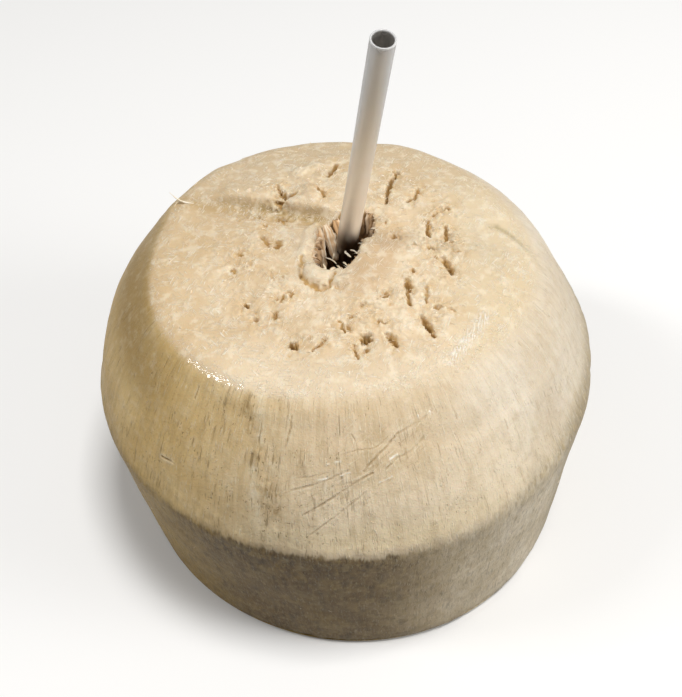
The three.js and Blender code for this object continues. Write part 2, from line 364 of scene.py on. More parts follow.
# %% Pits, slits and cracks of the top
PITS = [
    (1.3, 1.8, [(1.5, 32), (0.5, 29.5), (-1, 26.5)]),
    (2.0, 1.5, [(17, 27.5), (16.5, 27)]),
    (0.8, 1.6, [(17, 27.5), (15, 23.5), (14, 20.5), (13, 15)]),
    (0.5, 0.9, [(14, 20.5), (13, 20)]),
    (0.7, 1.2, [(21.5, 20), (20.5, 16.5), (18.5, 15)]),
    (1.6, 1.5, [(-11.5, 17.5), (-9.5, 19)]),
    (1.3, 1.4, [(-13.5, 21.5), (-12, 18)]),
    (0.8, 1.0, [(-14, 23.5), (-13, 21)]),
    (1.1, 1.3, [(-4, 21), (-2.5, 19), (-2.5, 17)]),
    (1.7, 1.1, [(-14, 12.5), (-12.5, 12)]),
    (1.6, 0.9, [(-14, 16), (-13, 16)]),
    (0.5, 0.6, [(-19, 14.5), (-18, 12.5)]),
    (0.9, 0.9, [(-17.5, 10), (-17, 9.5)]),
    (0.7, 0.8, [(-18, 5), (-16, 2.5)]),
    (1.7, 1.3, [(-14.5, 1.5), (-13.5, 3)]),
    (1.3, 1.0, [(-23.5, 0.5), (-23, 0)]),
    (0.5, 0.5, [(-21.5, -4.5), (-20, -3)]),
    (1.0, 0.9, [(-25, -4.5), (-24.5, -6)]),
    (1.6, 1.9, [(-21.5, -17), (-21.5, -16.5)]),
    (1.2, 1.5, [(-19.5, -21.5), (-19, -21.5)]),
    (0.6, 0.9, [(-13.5, -17), (-13, -15), (-12, -14), (-11, -14.5), (-11.5, -16)]),
    (1.0, 1.4, [(-15, -20), (-15, -22)]),
    (0.6, 0.6, [(-15, -16), (-14.5, -16)]),
    (0.5, 0.5, [(-13.5, -9), (-13, -9)]),
    (2.2, 2.8, [(-11, -30), (-11.5, -29.5)]),
    (0.6, 0.8, [(-7, -31.5), (-5.5, -30.5), (-4, -29)]),
    (0.7, 0.9, [(-1, -24), (0.5, -27.5)]),
    (0.6, 0.7, [(0.5, -25), (1.5, -26.5)]),
    (0.6, 0.6, [(1.5, -23.5), (3, -22.5)]),
    (1.4, 0.7, [(4.5, -20), (5, -19.5)]),
    (1.7, 1.6, [(10, -17.5), (10, -17)]),
    (2.2, 2.6, [(5, -28.5), (4.5, -30)]),
    (1.2, 1.3, [(4.5, -32), (4.5, -32.5)]),
    (0.6, 0.8, [(2, -31), (2.5, -34.5)]),
    (0.7, 0.8, [(8.5, -25), (8, -24.5)]),
    (0.4, 0.5, [(7.5, -25.5), (8.5, -25), (9.5, -25.5)]),
    (1.2, 1.5, [(9.5, -28.5), (11, -31.5)]),
    (1.2, 1.0, [(28, 12), (27.5, 11.5)]),
    (0.5, 0.7, [(28, 12), (25.5, 10), (24, 9)]),
    (1.1, 1.3, [(22.5, 7), (22, 1.5)]),
    (1.0, 1.2, [(26.5, 4.5), (26, -0.5)]),
    (0.6, 0.6, [(26, -0.5), (27.5, -1)]),
    (1.4, 1.3, [(14, 2), (13.5, 2)]),
    (0.4, 0.5, [(12.5, 1.5), (14, 2), (15, 1), (14.5, 3)]),
    (0.5, 0.5, [(12.5, 7), (12, 7.5)]),
    (0.8, 0.6, [(18.5, -1.5), (18, -1)]),
    (1.5, 0.8, [(21.5, -2.5), (22, -2.5)]),
    (0.6, 0.7, [(26.5, -4), (28.5, -4.5)]),
    (1.2, 0.8, [(23, -6), (22.5, -6)]),
    (1.3, 1.5, [(24.5, -6), (25.5, -9), (26, -11.5)]),
    (1.2, 1.1, [(17, -10), (17, -10.5)]),
    (1.3, 1.6, [(15.5, -13), (15.5, -16.5)]),
    (0.8, 1.0, [(15, -16.5), (15, -19), (15.5, -20.5)]),
    (0.6, 0.7, [(19.5, -15.5), (19, -20)]),
    (0.9, 0.9, [(20.5, -21.5), (22, -21.5)]),
    (0.5, 0.6, [(23.5, -22), (25, -23)]),
    (1.1, 1.5, [(17.5, -23.5), (18.5, -26.5), (19.5, -29.5)]),
]
print("pits and cracks:", len(PITS))

# %% [markdown]
# ## Marks of the knife
#
# On the upper band the knife skidded and turned, and left thin cuts with a raised lip, a few
# lifted slivers, brown bruises and one seam where two strokes met. They are strokes like those
# of the top, but their places are an angle and a height, because they lie on a curved side.
# They could be drawn in the material alone, but then they would catch no light.

# %% Marks of the knife on the upper band
# Angle in degrees round from +X and height in millimetres.
# Each row is a width in millimetres, a strength and its places. Cuts are dark, slivers are white
# fibre lifted by the knife and painted near white also as a painted glint, bruises are brown and
# pale streaks are bundles laid bare.
CUTS = [
    (0.7, 0.8, [(-104, 66.5), (-99, 68), (-95, 69.5), (-91, 71)]),
    (1.0, 0.9, [(-96, 67.5), (-91, 68.5)]),
    (0.8, 1.0, [(-101, 61.5), (-96, 65), (-90, 68.5), (-86, 70)]),
    (0.7, 0.8, [(-83, 70.5), (-80, 72), (-77, 72.5), (-73, 74)]),
    (0.7, 0.7, [(-100, 56.5), (-95, 61), (-90, 65), (-88, 66.5)]),
    (0.8, 0.8, [(-88, 70.5), (-86, 72), (-82, 74), (-79, 75.5), (-74, 76.5), (-71, 77)]),
    (0.5, 0.5, [(-93, 73.5), (-89, 74), (-85, 74), (-83, 74.5)]),
    (0.5, 0.6, [(-103, 69), (-100, 69.5), (-96, 70.5)]),
    (0.5, 0.6, [(-90, 76.5), (-89, 75), (-89, 73.5)]),
    (0.5, 0.6, [(-91, 71.5), (-91, 69)]),
    (0.5, 0.6, [(-97, 64.5), (-93, 66.5)]),
    (0.8, 0.8, [(-78, 73), (-78, 71.5)]),
    (0.7, 0.8, [(-105, 79.5), (-105, 77.5), (-106, 74)]),
    (0.7, 0.7, [(-87, 71.5), (-87, 71)]),
    (0.8, 0.7, [(-64, 78), (-64, 75)]),
    (0.5, 0.6, [(-88, 66.5), (-88, 64)]),
    (0.5, 0.6, [(-53, 70.5), (-53, 68.5)]),
    (0.8, 1.5, [(-137, 61.5), (-134, 62)]),
    (0.4, 0.9, [(-134, 62), (-133, 62)]),
    (0.5, 0.7, [(-132, 79.5), (-132, 77)]),
    (0.5, 0.6, [(-145, 76), (-144, 73)]),
    (0.4, 0.6, [(-150, 78.5), (-149, 76.5)]),
]
SLIVERS = [
    (0.6, 1.0, [(-96, 72), (-93, 72.5)]),
    (0.6, 1.0, [(-82, 72), (-80, 72.5)]),
    (0.4, 0.8, [(-85, 68), (-82, 69)]),
    (0.6, 0.9, [(-98, 69), (-96, 69.5)]),
    (0.5, 0.8, [(-93, 70), (-91, 70.5)]),
    (0.6, 1.0, [(-75, 77.5), (-75, 77)]),
    (0.5, 1.0, [(-73, 77.5), (-73, 77)]),
    (0.5, 1.0, [(-70, 77.5), (-70, 77)]),
]
BRUISES = [
    (1.5, 0.8, [(-117, 80), (-115, 76.5)]),
    (0.9, 0.8, [(-112, 73.5), (-112, 69)]),
    (1.8, 1.0, [(-109, 67), (-109, 61.5)]),
    (1.3, 0.8, [(-107, 67), (-107, 61)]),
    (3.2, 0.3, [(-111, 72), (-108, 60)]),
    (3.5, 0.4, [(-140, 53.5), (-130, 53), (-120, 53.5)]),
    (4.0, 0.3, [(-99, 66), (-94, 67.5), (-90, 68.5)]),
]
PALE_STREAKS = [
    (1.2, 0.7, [(-114, 81.5), (-112, 75)]),
    (1.6, 0.8, [(-113, 69), (-111, 58)]),
    (3.0, 0.4, [(-108, 71), (-107, 76)]),
]
SEAM = [(-117, 81), (-115, 78), (-113, 74.5), (-112, 71), (-110, 67.5), (-109, 62.5), (-107, 56.5)]
GROOVE = [(38.5, 4.5), (40.5, 3), (43.5, 0), (48, -5.5)]


def laid_out(marks):
    """The same marks with their places in the layout."""
    return [(width, strength, [lay_out(*place) for place in places]) for width, strength, places in marks]


cuts, slivers, bruises, pale_streaks = [laid_out(m) for m in (CUTS, SLIVERS, BRUISES, PALE_STREAKS)]
seam = [lay_out(*place) for place in SEAM]
print("cuts and slivers:", len(cuts), len(slivers))

# %% Distance from a stroke
def from_stroke(plan, places):
    """Distance of every point from a line through some places, and how far along that is, 0 to 1."""
    places = np.array(places, float)
    lengths = np.linalg.norm(np.diff(places, axis=0), axis=1)
    best = np.full(len(plan), np.inf)
    along = np.zeros(len(plan))
    run = 0.0
    for start, end, length in zip(places[:-1], places[1:], lengths):
        share = np.clip((plan - start) @ (end - start) / length ** 2, 0, 1)
        away = np.linalg.norm(plan - start - share[:, None] * (end - start), axis=1)
        nearer = away < best
        best[nearer] = away[nearer]
        along[nearer] = (run + share[nearer] * length) / lengths.sum()
        run += length
    return best, along


def noise_values(points, size, seed=0):
    """Smooth noise at every point, about -1 to 1, with blobs about `size` millimetres across."""
    shift = Vector((seed * 13.7, seed * 5.3, seed * 9.1))
    return np.array([noise.noise(Vector(p) / size + shift) for p in points])


print("a point 3 mm from a stroke:", from_stroke(np.array([[0.0, 3.0]]), [(-1, 0), (1, 0)]))

# %% Small nicks strewn among the pits
NICKS = 120
chance = random.Random(11)
nicks = []
while len(nicks) < NICKS:
    x, y = chance.choice(PITS)[2][0]
    x, y = x + chance.gauss(0, 3.2), y + chance.gauss(0, 3.2)
    heading = chance.uniform(0, math.pi)
    half = chance.uniform(0.15, 0.9)
    ends = [(x - half * math.cos(heading), y - half * math.sin(heading)),
            (x + half * math.cos(heading), y + half * math.sin(heading))]
    on_patch = math.hypot(x - 8, y + 6) < 6
    if 12 < math.hypot(x, y) < 36 and not on_patch:
        nicks.append((chance.uniform(0.3, 0.9), chance.uniform(0.15, 0.5), ends))
print("nicks:", len(nicks))

# %% [markdown]
# ## Mouth of the hole
#
# The hole has no neat edge. To the right it is a straight tear, to the left it is ragged and
# its lip stands up. Its outline is drawn through a few places, and read as a radius at each
# angle about its middle, so the wall of the hole can follow the same outline down.

# %% Outline of the mouth
MOUTH_MIDDLE = np.array([2.0, 3.0])
MOUTH = [(9.5, 7.5), (9.5, 10.5), (7.5, 11.5), (5.5, 11), (3, 12), (1.5, 11), (0, 9.5), (-1.5, 8.5),
         (-3.5, 7), (-4.5, 4.5), (-5, 2.5), (-5.5, -0.5), (-6, -3.5), (-5.5, -5.5), (-4.5, -7),
         (-3, -8), (-1.5, -8), (-0.5, -7.5), (1, -8), (3, -6), (4.5, -3.5), (5.5, -0.5), (6.5, 2),
         (8, 2), (9, 4)]
MOUTH_POINTS = 240

corners = np.array(MOUTH) - MOUTH_MIDDLE
edge_shares = np.linspace(0, 1, 12, endpoint=False)[:, None, None]
mouth_places = (corners + (np.roll(corners, -1, axis=0) - corners) * edge_shares).reshape(-1, 2)
mouth_turns = np.arctan2(mouth_places[:, 1], mouth_places[:, 0])
order = np.argsort(mouth_turns)
mouth_angles = np.arange(MOUTH_POINTS) * 2 * math.pi / MOUTH_POINTS - math.pi
mouth_radii = np.interp(mouth_angles, mouth_turns[order],
                        np.hypot(mouth_places[:, 0], mouth_places[:, 1])[order], period=2 * math.pi)
mouth_radii = (np.roll(mouth_radii, 1) + mouth_radii * 2 + np.roll(mouth_radii, -1)) / 4
ragged = [(math.cos(a) * 8, math.sin(a) * 8, 3) for a in mouth_angles]
mouth_radii = mouth_radii + 0.35 * noise_values(ragged, 1.2, 1) + 0.25 * noise_values(ragged, 0.5, 2)


def beyond_mouth(plan):
    """Distance outwards from the outline of the mouth, in millimetres, below 0 inside it."""
    from_middle = plan[:, :2] - MOUTH_MIDDLE
    turn = np.arctan2(from_middle[:, 1], from_middle[:, 0])
    return np.hypot(from_middle[:, 0], from_middle[:, 1]) - np.interp(
        turn, mouth_angles, mouth_radii, period=2 * math.pi)


mouth_ring = MOUTH_MIDDLE + mouth_radii[:, None] * np.stack(
    [np.cos(mouth_angles), np.sin(mouth_angles)], axis=1)
print("mouth across, mm:", np.round(np.ptp(mouth_ring, axis=0), 1))

# %% [markdown]
# ## Strewing and joining the points
#
# The points start as large squares over the layout. A square that is larger than the detail
# under it asks for is split into four, again and again, and each last square gives one point,
# moved a little at random so that no rows show. Delaunay's rule joins them into triangles.

# %% Points, closer together where there is detail
LARGEST = 2.49
CRACK_SPACING = 0.17
TORN_REACH = 32.5
shoulder_middle = [lay_out(math.degrees(a), EDGES["shoulder"]["height"]) for a in angles]
shoulder_reach = np.hypot(*np.array(shoulder_middle).T)


def wanted_spacing(plan):
    """How far apart the points should lie, in millimetres."""
    turn, reach, rim = polar(plan)
    shoulder_away = reach - around(shoulder_reach, turn)
    spacing = np.where(shoulder_away > 3, 1.8, 1.1)
    spacing = np.minimum(spacing, 0.6 + 0.15 * np.maximum(np.abs(shoulder_away) - 2.5, 0))
    edge_away = np.abs(reach - around(edge_reach, turn))
    spacing = np.minimum(spacing, 0.6 + 0.1 * np.maximum(edge_away - 4, 0))
    spacing = np.where(reach < rim, np.minimum(spacing, 0.6), spacing)
    spacing = np.where(reach < TORN_REACH, 0.3, spacing)
    for width, _, places in PITS:
        away = from_stroke(plan, places)[0]
        spacing = np.minimum(spacing, CRACK_SPACING + 0.35 * np.maximum(away - width / 2 - 0.2, 0))
    for _, _, places in cuts + slivers:
        away = from_stroke(plan, places)[0]
        spacing = np.minimum(spacing, CRACK_SPACING + 0.5 * np.maximum(away - 0.2, 0))
    return np.minimum(spacing, 0.6 + 0.3 * np.maximum(from_stroke(plan, seam)[0] - 3, 0))


CELL_SHARE = 0.72      # a cell is small enough when the spacing is over this share of its side


def strew(spacing_rule, half_width, seed):
    """Points over a square of the layout, as far apart as a rule asks."""
    chance = np.random.default_rng(seed)
    size = LARGEST
    count = int(math.ceil(half_width / size))
    centres = (np.arange(-count, count) + 0.5) * size
    cells = np.stack(np.meshgrid(centres, centres), axis=-1).reshape(-1, 2)
    quarters = np.array([(-0.25, -0.25), (0.25, -0.25), (-0.25, 0.25), (0.25, 0.25)])
    kept = []
    while len(cells):
        done = spacing_rule(cells) > size * CELL_SHARE
        jitter = chance.uniform(-0.27, 0.27, (int(done.sum()), 2)) * size
        kept.append(cells[done] + jitter)
        cells = (cells[~done][:, None, :] + quarters * size).reshape(-1, 2)
        size /= 2
    return np.vstack(kept)


outer_angles = np.arange(COARSE_COLUMNS) * 2 * math.pi / COARSE_COLUMNS
outer_reach = around(rim_radius + side_length, outer_angles)
outer_ring = outer_reach[:, None] * np.stack([np.cos(outer_angles), np.sin(outer_angles)], axis=1)
LAYOUT_HALF = 145      # millimetres from the middle of the layout
strewn = strew(wanted_spacing, LAYOUT_HALF, 4)
turn, reach, rim = polar(strewn)
inside_edge = reach < around(rim_radius + side_length, turn) - 0.8
strewn = strewn[inside_edge & (beyond_mouth(strewn) > 0.15)]
print("points strewn:", len(strewn))

# %% Triangles between the rings
def inside_ring(point, ring):
    """Whether a point lies inside a closed ring of places."""
    x, y = point
    ends = np.roll(ring, -1, axis=0)
    crosses = (ring[:, 1] > y) != (ends[:, 1] > y)
    with np.errstate(divide="ignore", invalid="ignore"):
        where = ring[:, 0] + (y - ring[:, 1]) / (ends[:, 1] - ring[:, 1]) * (ends[:, 0] - ring[:, 0])
    return bool(np.count_nonzero(crosses & (where > x)) % 2)


def join(outer, inner, points):
    """Triangles over the points, inside the outer ring and, if there is one, outside the inner."""
    rings = [outer] if inner is None else [outer, inner]
    places = np.vstack([*rings, points])
    ring_edges = []
    first = 0
    for ring in rings:
        ring_edges += [(first + i, first + (i + 1) % len(ring)) for i in range(len(ring))]
        first += len(ring)
    joined = delaunay_2d_cdt([Vector(p) for p in places], ring_edges, [], 0, 1e-6)
    triangles = np.array(joined[2])
    keep = np.ones(len(triangles), bool)
    for i in np.nonzero((triangles < first).all(axis=1))[0]:
        middle = places[triangles[i]].mean(axis=0)
        in_hole = inner is not None and inside_ring(middle, inner)
        keep[i] = inside_ring(middle, outer) and not in_hole
    return places, triangles[keep]


plan, triangles = join(outer_ring, mouth_ring, strewn)
folded = fold(plan)
print("triangles of the outside:", len(triangles))

# %% [markdown]
# ## Relief
#
# Everything that stands out of the cut shape or sinks into it is one number for each point: how
# far it moves along the surface's own normal. Slow waves come from the hand that held the knife.
# Round the hole the soft flesh is lumpy and torn into thin flakes, which is what noise folded at
# zero gives: sharp crests with round valleys between them. The strokes are cut in last.

# %% Zones of the husk
turn, reach, rim = polar(plan)
beyond = beyond_mouth(plan)
edge_away = reach - around(edge_reach, turn)
edge_softness = 1.2 + 0.2 * (around(top_rounding, turn) - TOP_ROUNDING)
on_face = 1 - smoothstep(edge_away / edge_softness, -1, 1)
torn_zone = 1 - smoothstep(reach, 28, 39)
SMOOTH_PATCH = [(4.5, -13), (8.5, -7), (12, 0)]
smooth_patch = 1 - smoothstep(from_stroke(plan, SMOOTH_PATCH)[0], 2.5, 6)
quiet = 1 - 0.85 * smooth_patch
along_step = (STEP_END - STEP_START) / np.linalg.norm(STEP_END - STEP_START)
behind_step = along_step[0] * (plan - STEP_START)[:, 1] - along_step[1] * (plan - STEP_START)[:, 0]
# Painted shade: the band in front of the step is marked here, and the material paints it darker as the step's
# shadow.
trough = np.exp(-((behind_step + 1.5 + 0.03 * (plan[:, 0] + 20)) / 2.5) ** 2) * on_face
trough *= 1 - smoothstep(plan[:, 0], -4, 5)
# The foot of the step is sunk a little in the relief, and the material paints it darker as painted shadow.
STEP_FOOT = [(-29.5, 21.5), (-23.5, 18.5), (-16.5, 16), (-9, 12.5), (-4.5, 11), (-0.5, 11)]
foot_away, foot_along = from_stroke(plan, STEP_FOOT)
step_foot = np.exp(-(foot_away / (0.6 + 0.8 * foot_along)) ** 2)
step_foot *= (0.35 + 0.65 * smoothstep(foot_along, 0.1, 0.6)) * (1 - smoothstep(foot_along, 0.85, 1))
turn_degrees = (np.degrees(turn) + 180) % 360 - 180


def near_angle(low, high, soft):
    """1 between two angles in degrees round from +X, and 0 well outside them."""
    return smoothstep(turn_degrees, low - soft, low) * (1 - smoothstep(turn_degrees, high, high + soft))


wet_edge = near_angle(-139, -120, 3) * np.exp(-((edge_away + 0.2) / 1.8) ** 2)
print("points on the torn part of the top:", int((torn_zone > 0.5).sum()))

# %% Waves, lumps and flakes
flat_points = np.column_stack([plan, np.zeros(len(plan))])
waves = 0.32 * noise_values(folded, 15, 3) + 0.12 * noise_values(folded, 5, 4)
lumps = 0.6 * np.abs(noise_values(folded, 3.0, 5)) + 0.3 * np.abs(noise_values(folded, 1.4, 6))
lumps += 0.35 * noise_values(folded, 4.5, 21) - 0.2
crests = np.clip(1 - 3.5 * np.abs(noise_values(folded, 2.2, 7)), 0, 1) ** 2
crests *= np.clip(2 * noise_values(folded, 4, 9), 0, 1)
fine_lumps = 0.06 * noise_values(folded, 0.9, 8)
flakes = 0.5 - np.abs(noise_values(folded, 1.1, 30)) - np.abs(noise_values(folded, 0.6, 31))
relief = waves * (0.35 + 0.65 * (1 - on_face))
relief += fine_lumps * (0.4 + 0.6 * on_face) * (1 - 0.9 * wet_edge)
near_pits = np.zeros(len(plan))
for width, depth, places in PITS:
    near_pits = np.maximum(near_pits, np.exp(-(from_stroke(plan, places)[0] / 3) ** 2))
relief += (lumps + 0.4 * crests) * torn_zone * quiet * (0.35 + 0.65 * near_pits)
relief += 0.38 * flakes * torn_zone * quiet * (0.2 + 0.8 * near_pits)
shoulder_band = np.exp(-((reach - around(shoulder_reach, turn)) / 2.5) ** 2)
relief -= 0.4 * shoulder_band * np.clip(noise_values(folded, 4, 10), 0, 1)
relief -= 0.4 * step_foot * (0.6 + noise_values(folded, 3.5, 34))
print("relief so far, mm:", round(float(relief.min()), 2), "to", round(float(relief.max()), 2))

# %% Strokes cut in, with ragged outlines
warp = np.column_stack([noise_values(flat_points, 1.4, 11), noise_values(flat_points, 1.4, 12)])
warp_fine = np.column_stack([noise_values(flat_points, 0.5, 13), noise_values(flat_points, 0.5, 14)])
ragged_plan = plan + 0.45 * warp + 0.2 * warp_fine
ragged_width = 1 + 0.7 * noise_values(flat_points, 0.8, 22) + 0.5 * noise_values(flat_points, 0.35, 23)
ragged_width = np.clip(ragged_width, 0.3, 2)
lip_strength = np.clip(0.4 + 1.2 * noise_values(flat_points, 1.1, 15), 0, 1.5)

LIP_CRACKS = [
    (1.1, 0.8, [(-8.5, -3), (-8.5, -5), (-9, -9)]),
    (1.2, 0.8, [(-9, -9), (-8, -11), (-5, -14), (-2.5, -13.5)]),
    (0.5, 1.0, [(-2.5, -13.5), (-1.5, -10), (-1, -8.5)]),
    (0.9, 0.4, [(-1.5, -14), (0, -14), (1.5, -13.5)]),
]
LIP_LUMPS = [
    (14.0, 0.9, [(-41, 26), (-37.5, 31), (-33, 35.5)]),
    (16.0, -0.5, [(-7, 46), (8, 46)]),
    (5.2, 1.3, [(-6, 20), (-5.5, 17.5)]),
    (4.0, 0.5, [(-26.5, 23.5), (-16.5, 20.5), (-8.5, 15.5), (-1, 14)]),
    (3.4, 0.8, [(-8.5, 29), (-4, 31)]),
    (4.5, 1.0, [(-6.5, -8), (-5.5, -10), (-3.5, -10.5)]),
    (2.6, 0.9, [(-0.5, -12), (1.5, -11.5)]),
    (2.4, 0.7, [(-8.5, -3), (-7.5, 1), (-6.5, 5), (-5, 8.5)]),
]
pit = np.zeros(len(plan))
torn_white = np.zeros(len(plan))
for width, height, places in LIP_LUMPS:
    away = from_stroke(ragged_plan, places)[0]
    relief += height * (1 - smoothstep(away, 0.1 * width, 0.75 * width))
    if height > 0.6 and width < 5:
        torn_white = np.maximum(torn_white, 0.6 * (1 - smoothstep(away, 0.2 * width, 0.7 * width)))
for width, depth, places in PITS + LIP_CRACKS + nicks:
    away, along = from_stroke(ragged_plan, places)
    taper = 0.55 + 0.45 * np.sin(math.pi * np.clip(along, 0.02, 0.98))
    half = 0.05 + 0.8 * width * taper * ragged_width
    # The tool went in slanting, so the front end of a pit is the deeper one.
    ys = [y for x, y in places]
    from_middle = (sum(ys) / len(ys) - ragged_plan[:, 1]) / ((max(ys) - min(ys)) / 2 + width)
    slant = 1 + 0.4 * np.clip(from_middle, -1, 1)
    sunk = 1.1 * depth * slant * (1 - smoothstep(away / half, 0.05, 1.0))
    funnel = depth * np.exp(-(away / (width + 0.4)) ** 2)
    relief -= sunk + 0.25 * funnel
    lip = np.exp(-((away - half - 0.35) / 0.35) ** 2) * lip_strength
    relief += 0.22 * lip
    torn_white = np.maximum(torn_white, min(depth, 1) * lip)
    pit = np.maximum(pit, np.clip(sunk / 2.1 + 0.14 * np.minimum(funnel, 0.9), 0, 1))
pit *= np.clip(0.85 + 0.9 * noise_values(flat_points, 1.3, 33), 0.25, 1)
edge_bend = (1 - np.clip(beyond / 0.8, 0, 1)) ** 2
relief -= 0.45 * edge_bend
print("deepest point, mm:", round(float(relief.min()), 2))

# %% Scratches, ridge and groove of the sides
uneven = 0.65 + 0.7 * noise_values(folded, 3.5, 24) + 0.5 * noise_values(folded, 0.9, 32)
uneven = np.clip(uneven, 0.05, 1)
frayed = np.clip(0.6 + 1.2 * noise_values(folded, 1.2, 27), 0, 1)


def marked(marks, sharp, raggedness=0.16):
    """Strength of some marks at every point, with a sharp or a soft edge."""
    value = np.zeros(len(plan))
    for width, strength, places in marks:
        away = from_stroke(plan + raggedness * warp, places)[0]
        here = 1 - smoothstep(away, 0.05, 0.5 * width) if sharp else np.exp(-(away / width) ** 2)
        value = np.maximum(value, strength * here)
    return value


scratch = marked(cuts, True) * uneven
sliver_and_glint = marked(slivers, True) * frayed
bruise = marked(bruises, False, 0.3) * frayed
pale_streak = marked(pale_streaks, False) * frayed
cut_lip = np.clip(marked(cuts, False) - scratch, 0, 1) * uneven
relief -= 0.12 * np.minimum(scratch, 1)
relief += 0.1 * sliver_and_glint
relief += 0.07 * cut_lip
SCUFFED_CUTS = 12      # how many of the cuts, from the first, have scuffs beside them
scuffed = np.clip(1.2 * marked([(3.0, s, p) for _, s, p in cuts[:SCUFFED_CUTS]], False), 0, 1)
seam_zone = np.exp(-(from_stroke(plan + warp, seam)[0] / 2) ** 2)
relief += 0.22 * seam_zone * noise_values(folded, 1.1, 16)
groove_away, groove_along = from_stroke(plan + 0.3 * warp, GROOVE)
groove = np.exp(-(groove_away / 0.75) ** 2) * (1 - 0.75 * groove_along)
relief -= 0.3 * groove
print("points on scratches:", int((scratch > 0.3).sum()))

# %% Points moved along the normals of the cut shape
STEP = 0.05
outward = np.column_stack([np.cos(turn), np.sin(turn)])
sideways = np.column_stack([-np.sin(turn), np.cos(turn)])
step_out = folded - fold(plan - STEP * outward)
step_round = fold(plan + STEP * sideways) - folded
normals = np.cross(step_out, step_round)
normals /= np.linalg.norm(normals, axis=1, keepdims=True)
near_base = smoothstep(around(rim_radius + side_length, turn) - reach, 0, 2)
outside_points = folded + normals * (relief * near_base)[:, None]
print("top of the husk, mm:", round(float(outside_points[:, 2].max()), 2))

# %% Wall of the hole, ring under ring
# Each row says the depth under the top, the middle and the radius of the hole there.
HOLE_ROWS = [(0, (2.0, 3.0), 8.6), (7, (1.5, 2.5), 8.6), (19, (0.5, 5.6), 7.6), (34, (-1.3, 9.4), 6.9)]
HOLE_FLOOR_HEIGHT = 48.6
FLOOR_DISH = 0.8        # how much lower the floor is in its middle
WALL_RINGS = 22
mouth_rows = slice(COARSE_COLUMNS, COARSE_COLUMNS + MOUTH_POINTS)
mouth_points = outside_points[mouth_rows]
hole_depths = [row[0] for row in HOLE_ROWS]
wall = []
for ring in range(1, WALL_RINGS + 1):
    share = (ring / WALL_RINGS) ** 1.25
    height = mouth_points[:, 2] + (HOLE_FLOOR_HEIGHT - mouth_points[:, 2]) * share
    depth = share * hole_depths[-1]
    middle = np.array([np.interp(depth, hole_depths, [row[1][k] for row in HOLE_ROWS]) for k in (0, 1)])
    radius = np.interp(depth, hole_depths, [row[2] for row in HOLE_ROWS])
    own = float(smoothstep(np.array(depth), 0, 12))
    radii = mouth_radii * (1 - own) + radius * own
    folds = np.column_stack([np.cos(mouth_angles) * 6, np.sin(mouth_angles) * 6,
                             np.full(MOUTH_POINTS, depth * 0.22)])
    rough = 0.28 * noise_values(folds, 1.5, 17) + 0.12 * noise_values(folds, 0.6, 18)
    radii = radii + min(depth, 2) * rough
    wall.append(np.column_stack([middle[0] + radii * np.cos(mouth_angles),
                                 middle[1] + radii * np.sin(mouth_angles), height]))
FLOOR_RINGS = 5
for ring in range(1, FLOOR_RINGS):
    wall.append(wall[WALL_RINGS - 1] * (1 - ring / FLOOR_RINGS)
                + np.array([*HOLE_ROWS[-1][1], HOLE_FLOOR_HEIGHT - FLOOR_DISH]) * ring / FLOOR_RINGS)
wall_points = np.vstack([*wall, [[*HOLE_ROWS[-1][1], HOLE_FLOOR_HEIGHT - FLOOR_DISH]]])
print("wall points:", len(wall_points))


def ring_faces(upper, lower):
    """Two triangles for each step between two rings of point numbers."""
    following_upper = np.roll(upper, -1)
    following_lower = np.roll(lower, -1)
    return np.vstack([np.column_stack([upper, following_upper, lower]),
                      np.column_stack([following_upper, following_lower, lower])])


wall_first = len(outside_points)
wall_faces = []
upper = np.arange(COARSE_COLUMNS, COARSE_COLUMNS + MOUTH_POINTS)
for ring in range(WALL_RINGS + FLOOR_RINGS - 1):
    lower = wall_first + ring * MOUTH_POINTS + np.arange(MOUTH_POINTS)
    wall_faces.append(ring_faces(upper, lower))
    upper = lower
floor_middle = np.full(MOUTH_POINTS, wall_first + len(wall_points) - 1)
wall_faces.append(np.column_stack([upper, np.roll(upper, -1), floor_middle]))
wall_faces = np.vstack(wall_faces)
print("triangles of the wall:", len(wall_faces))

# %% Base, from its rounded edge inwards
base_turned = base_corner[::-1]
edge_rings = []
for row in base_turned[1:]:
    radius = row[::2, 0]
    edge_rings.append(np.column_stack([radius * np.cos(outer_angles), radius * np.sin(outer_angles),
                                       row[::2, 1]]))
edge_points_count = len(edge_rings) * COARSE_COLUMNS
edge_first = wall_first + len(wall_points)
base_faces = []
upper = np.arange(COARSE_COLUMNS)
for ring in range(len(edge_rings)):
    lower = edge_first + ring * COARSE_COLUMNS + np.arange(COARSE_COLUMNS)
    base_faces.append(ring_faces(lower, upper))
    upper = lower

base_edge = edge_rings[-1][:, :2]
BASE_SPACING = 1.8      # millimetres between points
BASE_HALF = 66
base_strewn = strew(lambda cells: np.full(len(cells), BASE_SPACING), BASE_HALF, 5)
base_turn = np.arctan2(base_strewn[:, 1], base_strewn[:, 0]) % (2 * math.pi)
base_reach = np.interp(base_turn, outer_angles, np.hypot(*base_edge.T), period=2 * math.pi)
base_strewn = base_strewn[np.hypot(*base_strewn.T) < base_reach - 1.0]
base_plan, flat_faces = join(base_edge, None, base_strewn)
base_inner = base_plan[COARSE_COLUMNS:]
base_rise = 0.25 * (0.5 + noise_values(np.column_stack([base_inner, np.zeros(len(base_inner))]), 9, 19))
base_rise *= smoothstep(base_reach[0] - np.hypot(*base_inner.T), 0, 6)
base_points = np.column_stack([base_inner, np.maximum(base_rise, 0)])
numbers = np.concatenate([upper, edge_first + edge_points_count + np.arange(len(base_inner))])
base_faces.append(numbers[flat_faces][:, ::-1])
base_faces = np.vstack(base_faces)
print("triangles of the base:", len(base_faces))

# %% Husk as one closed mesh
husk_points = np.vstack([outside_points, wall_points, *edge_rings, base_points])
husk_faces = np.vstack([triangles, wall_faces, base_faces])


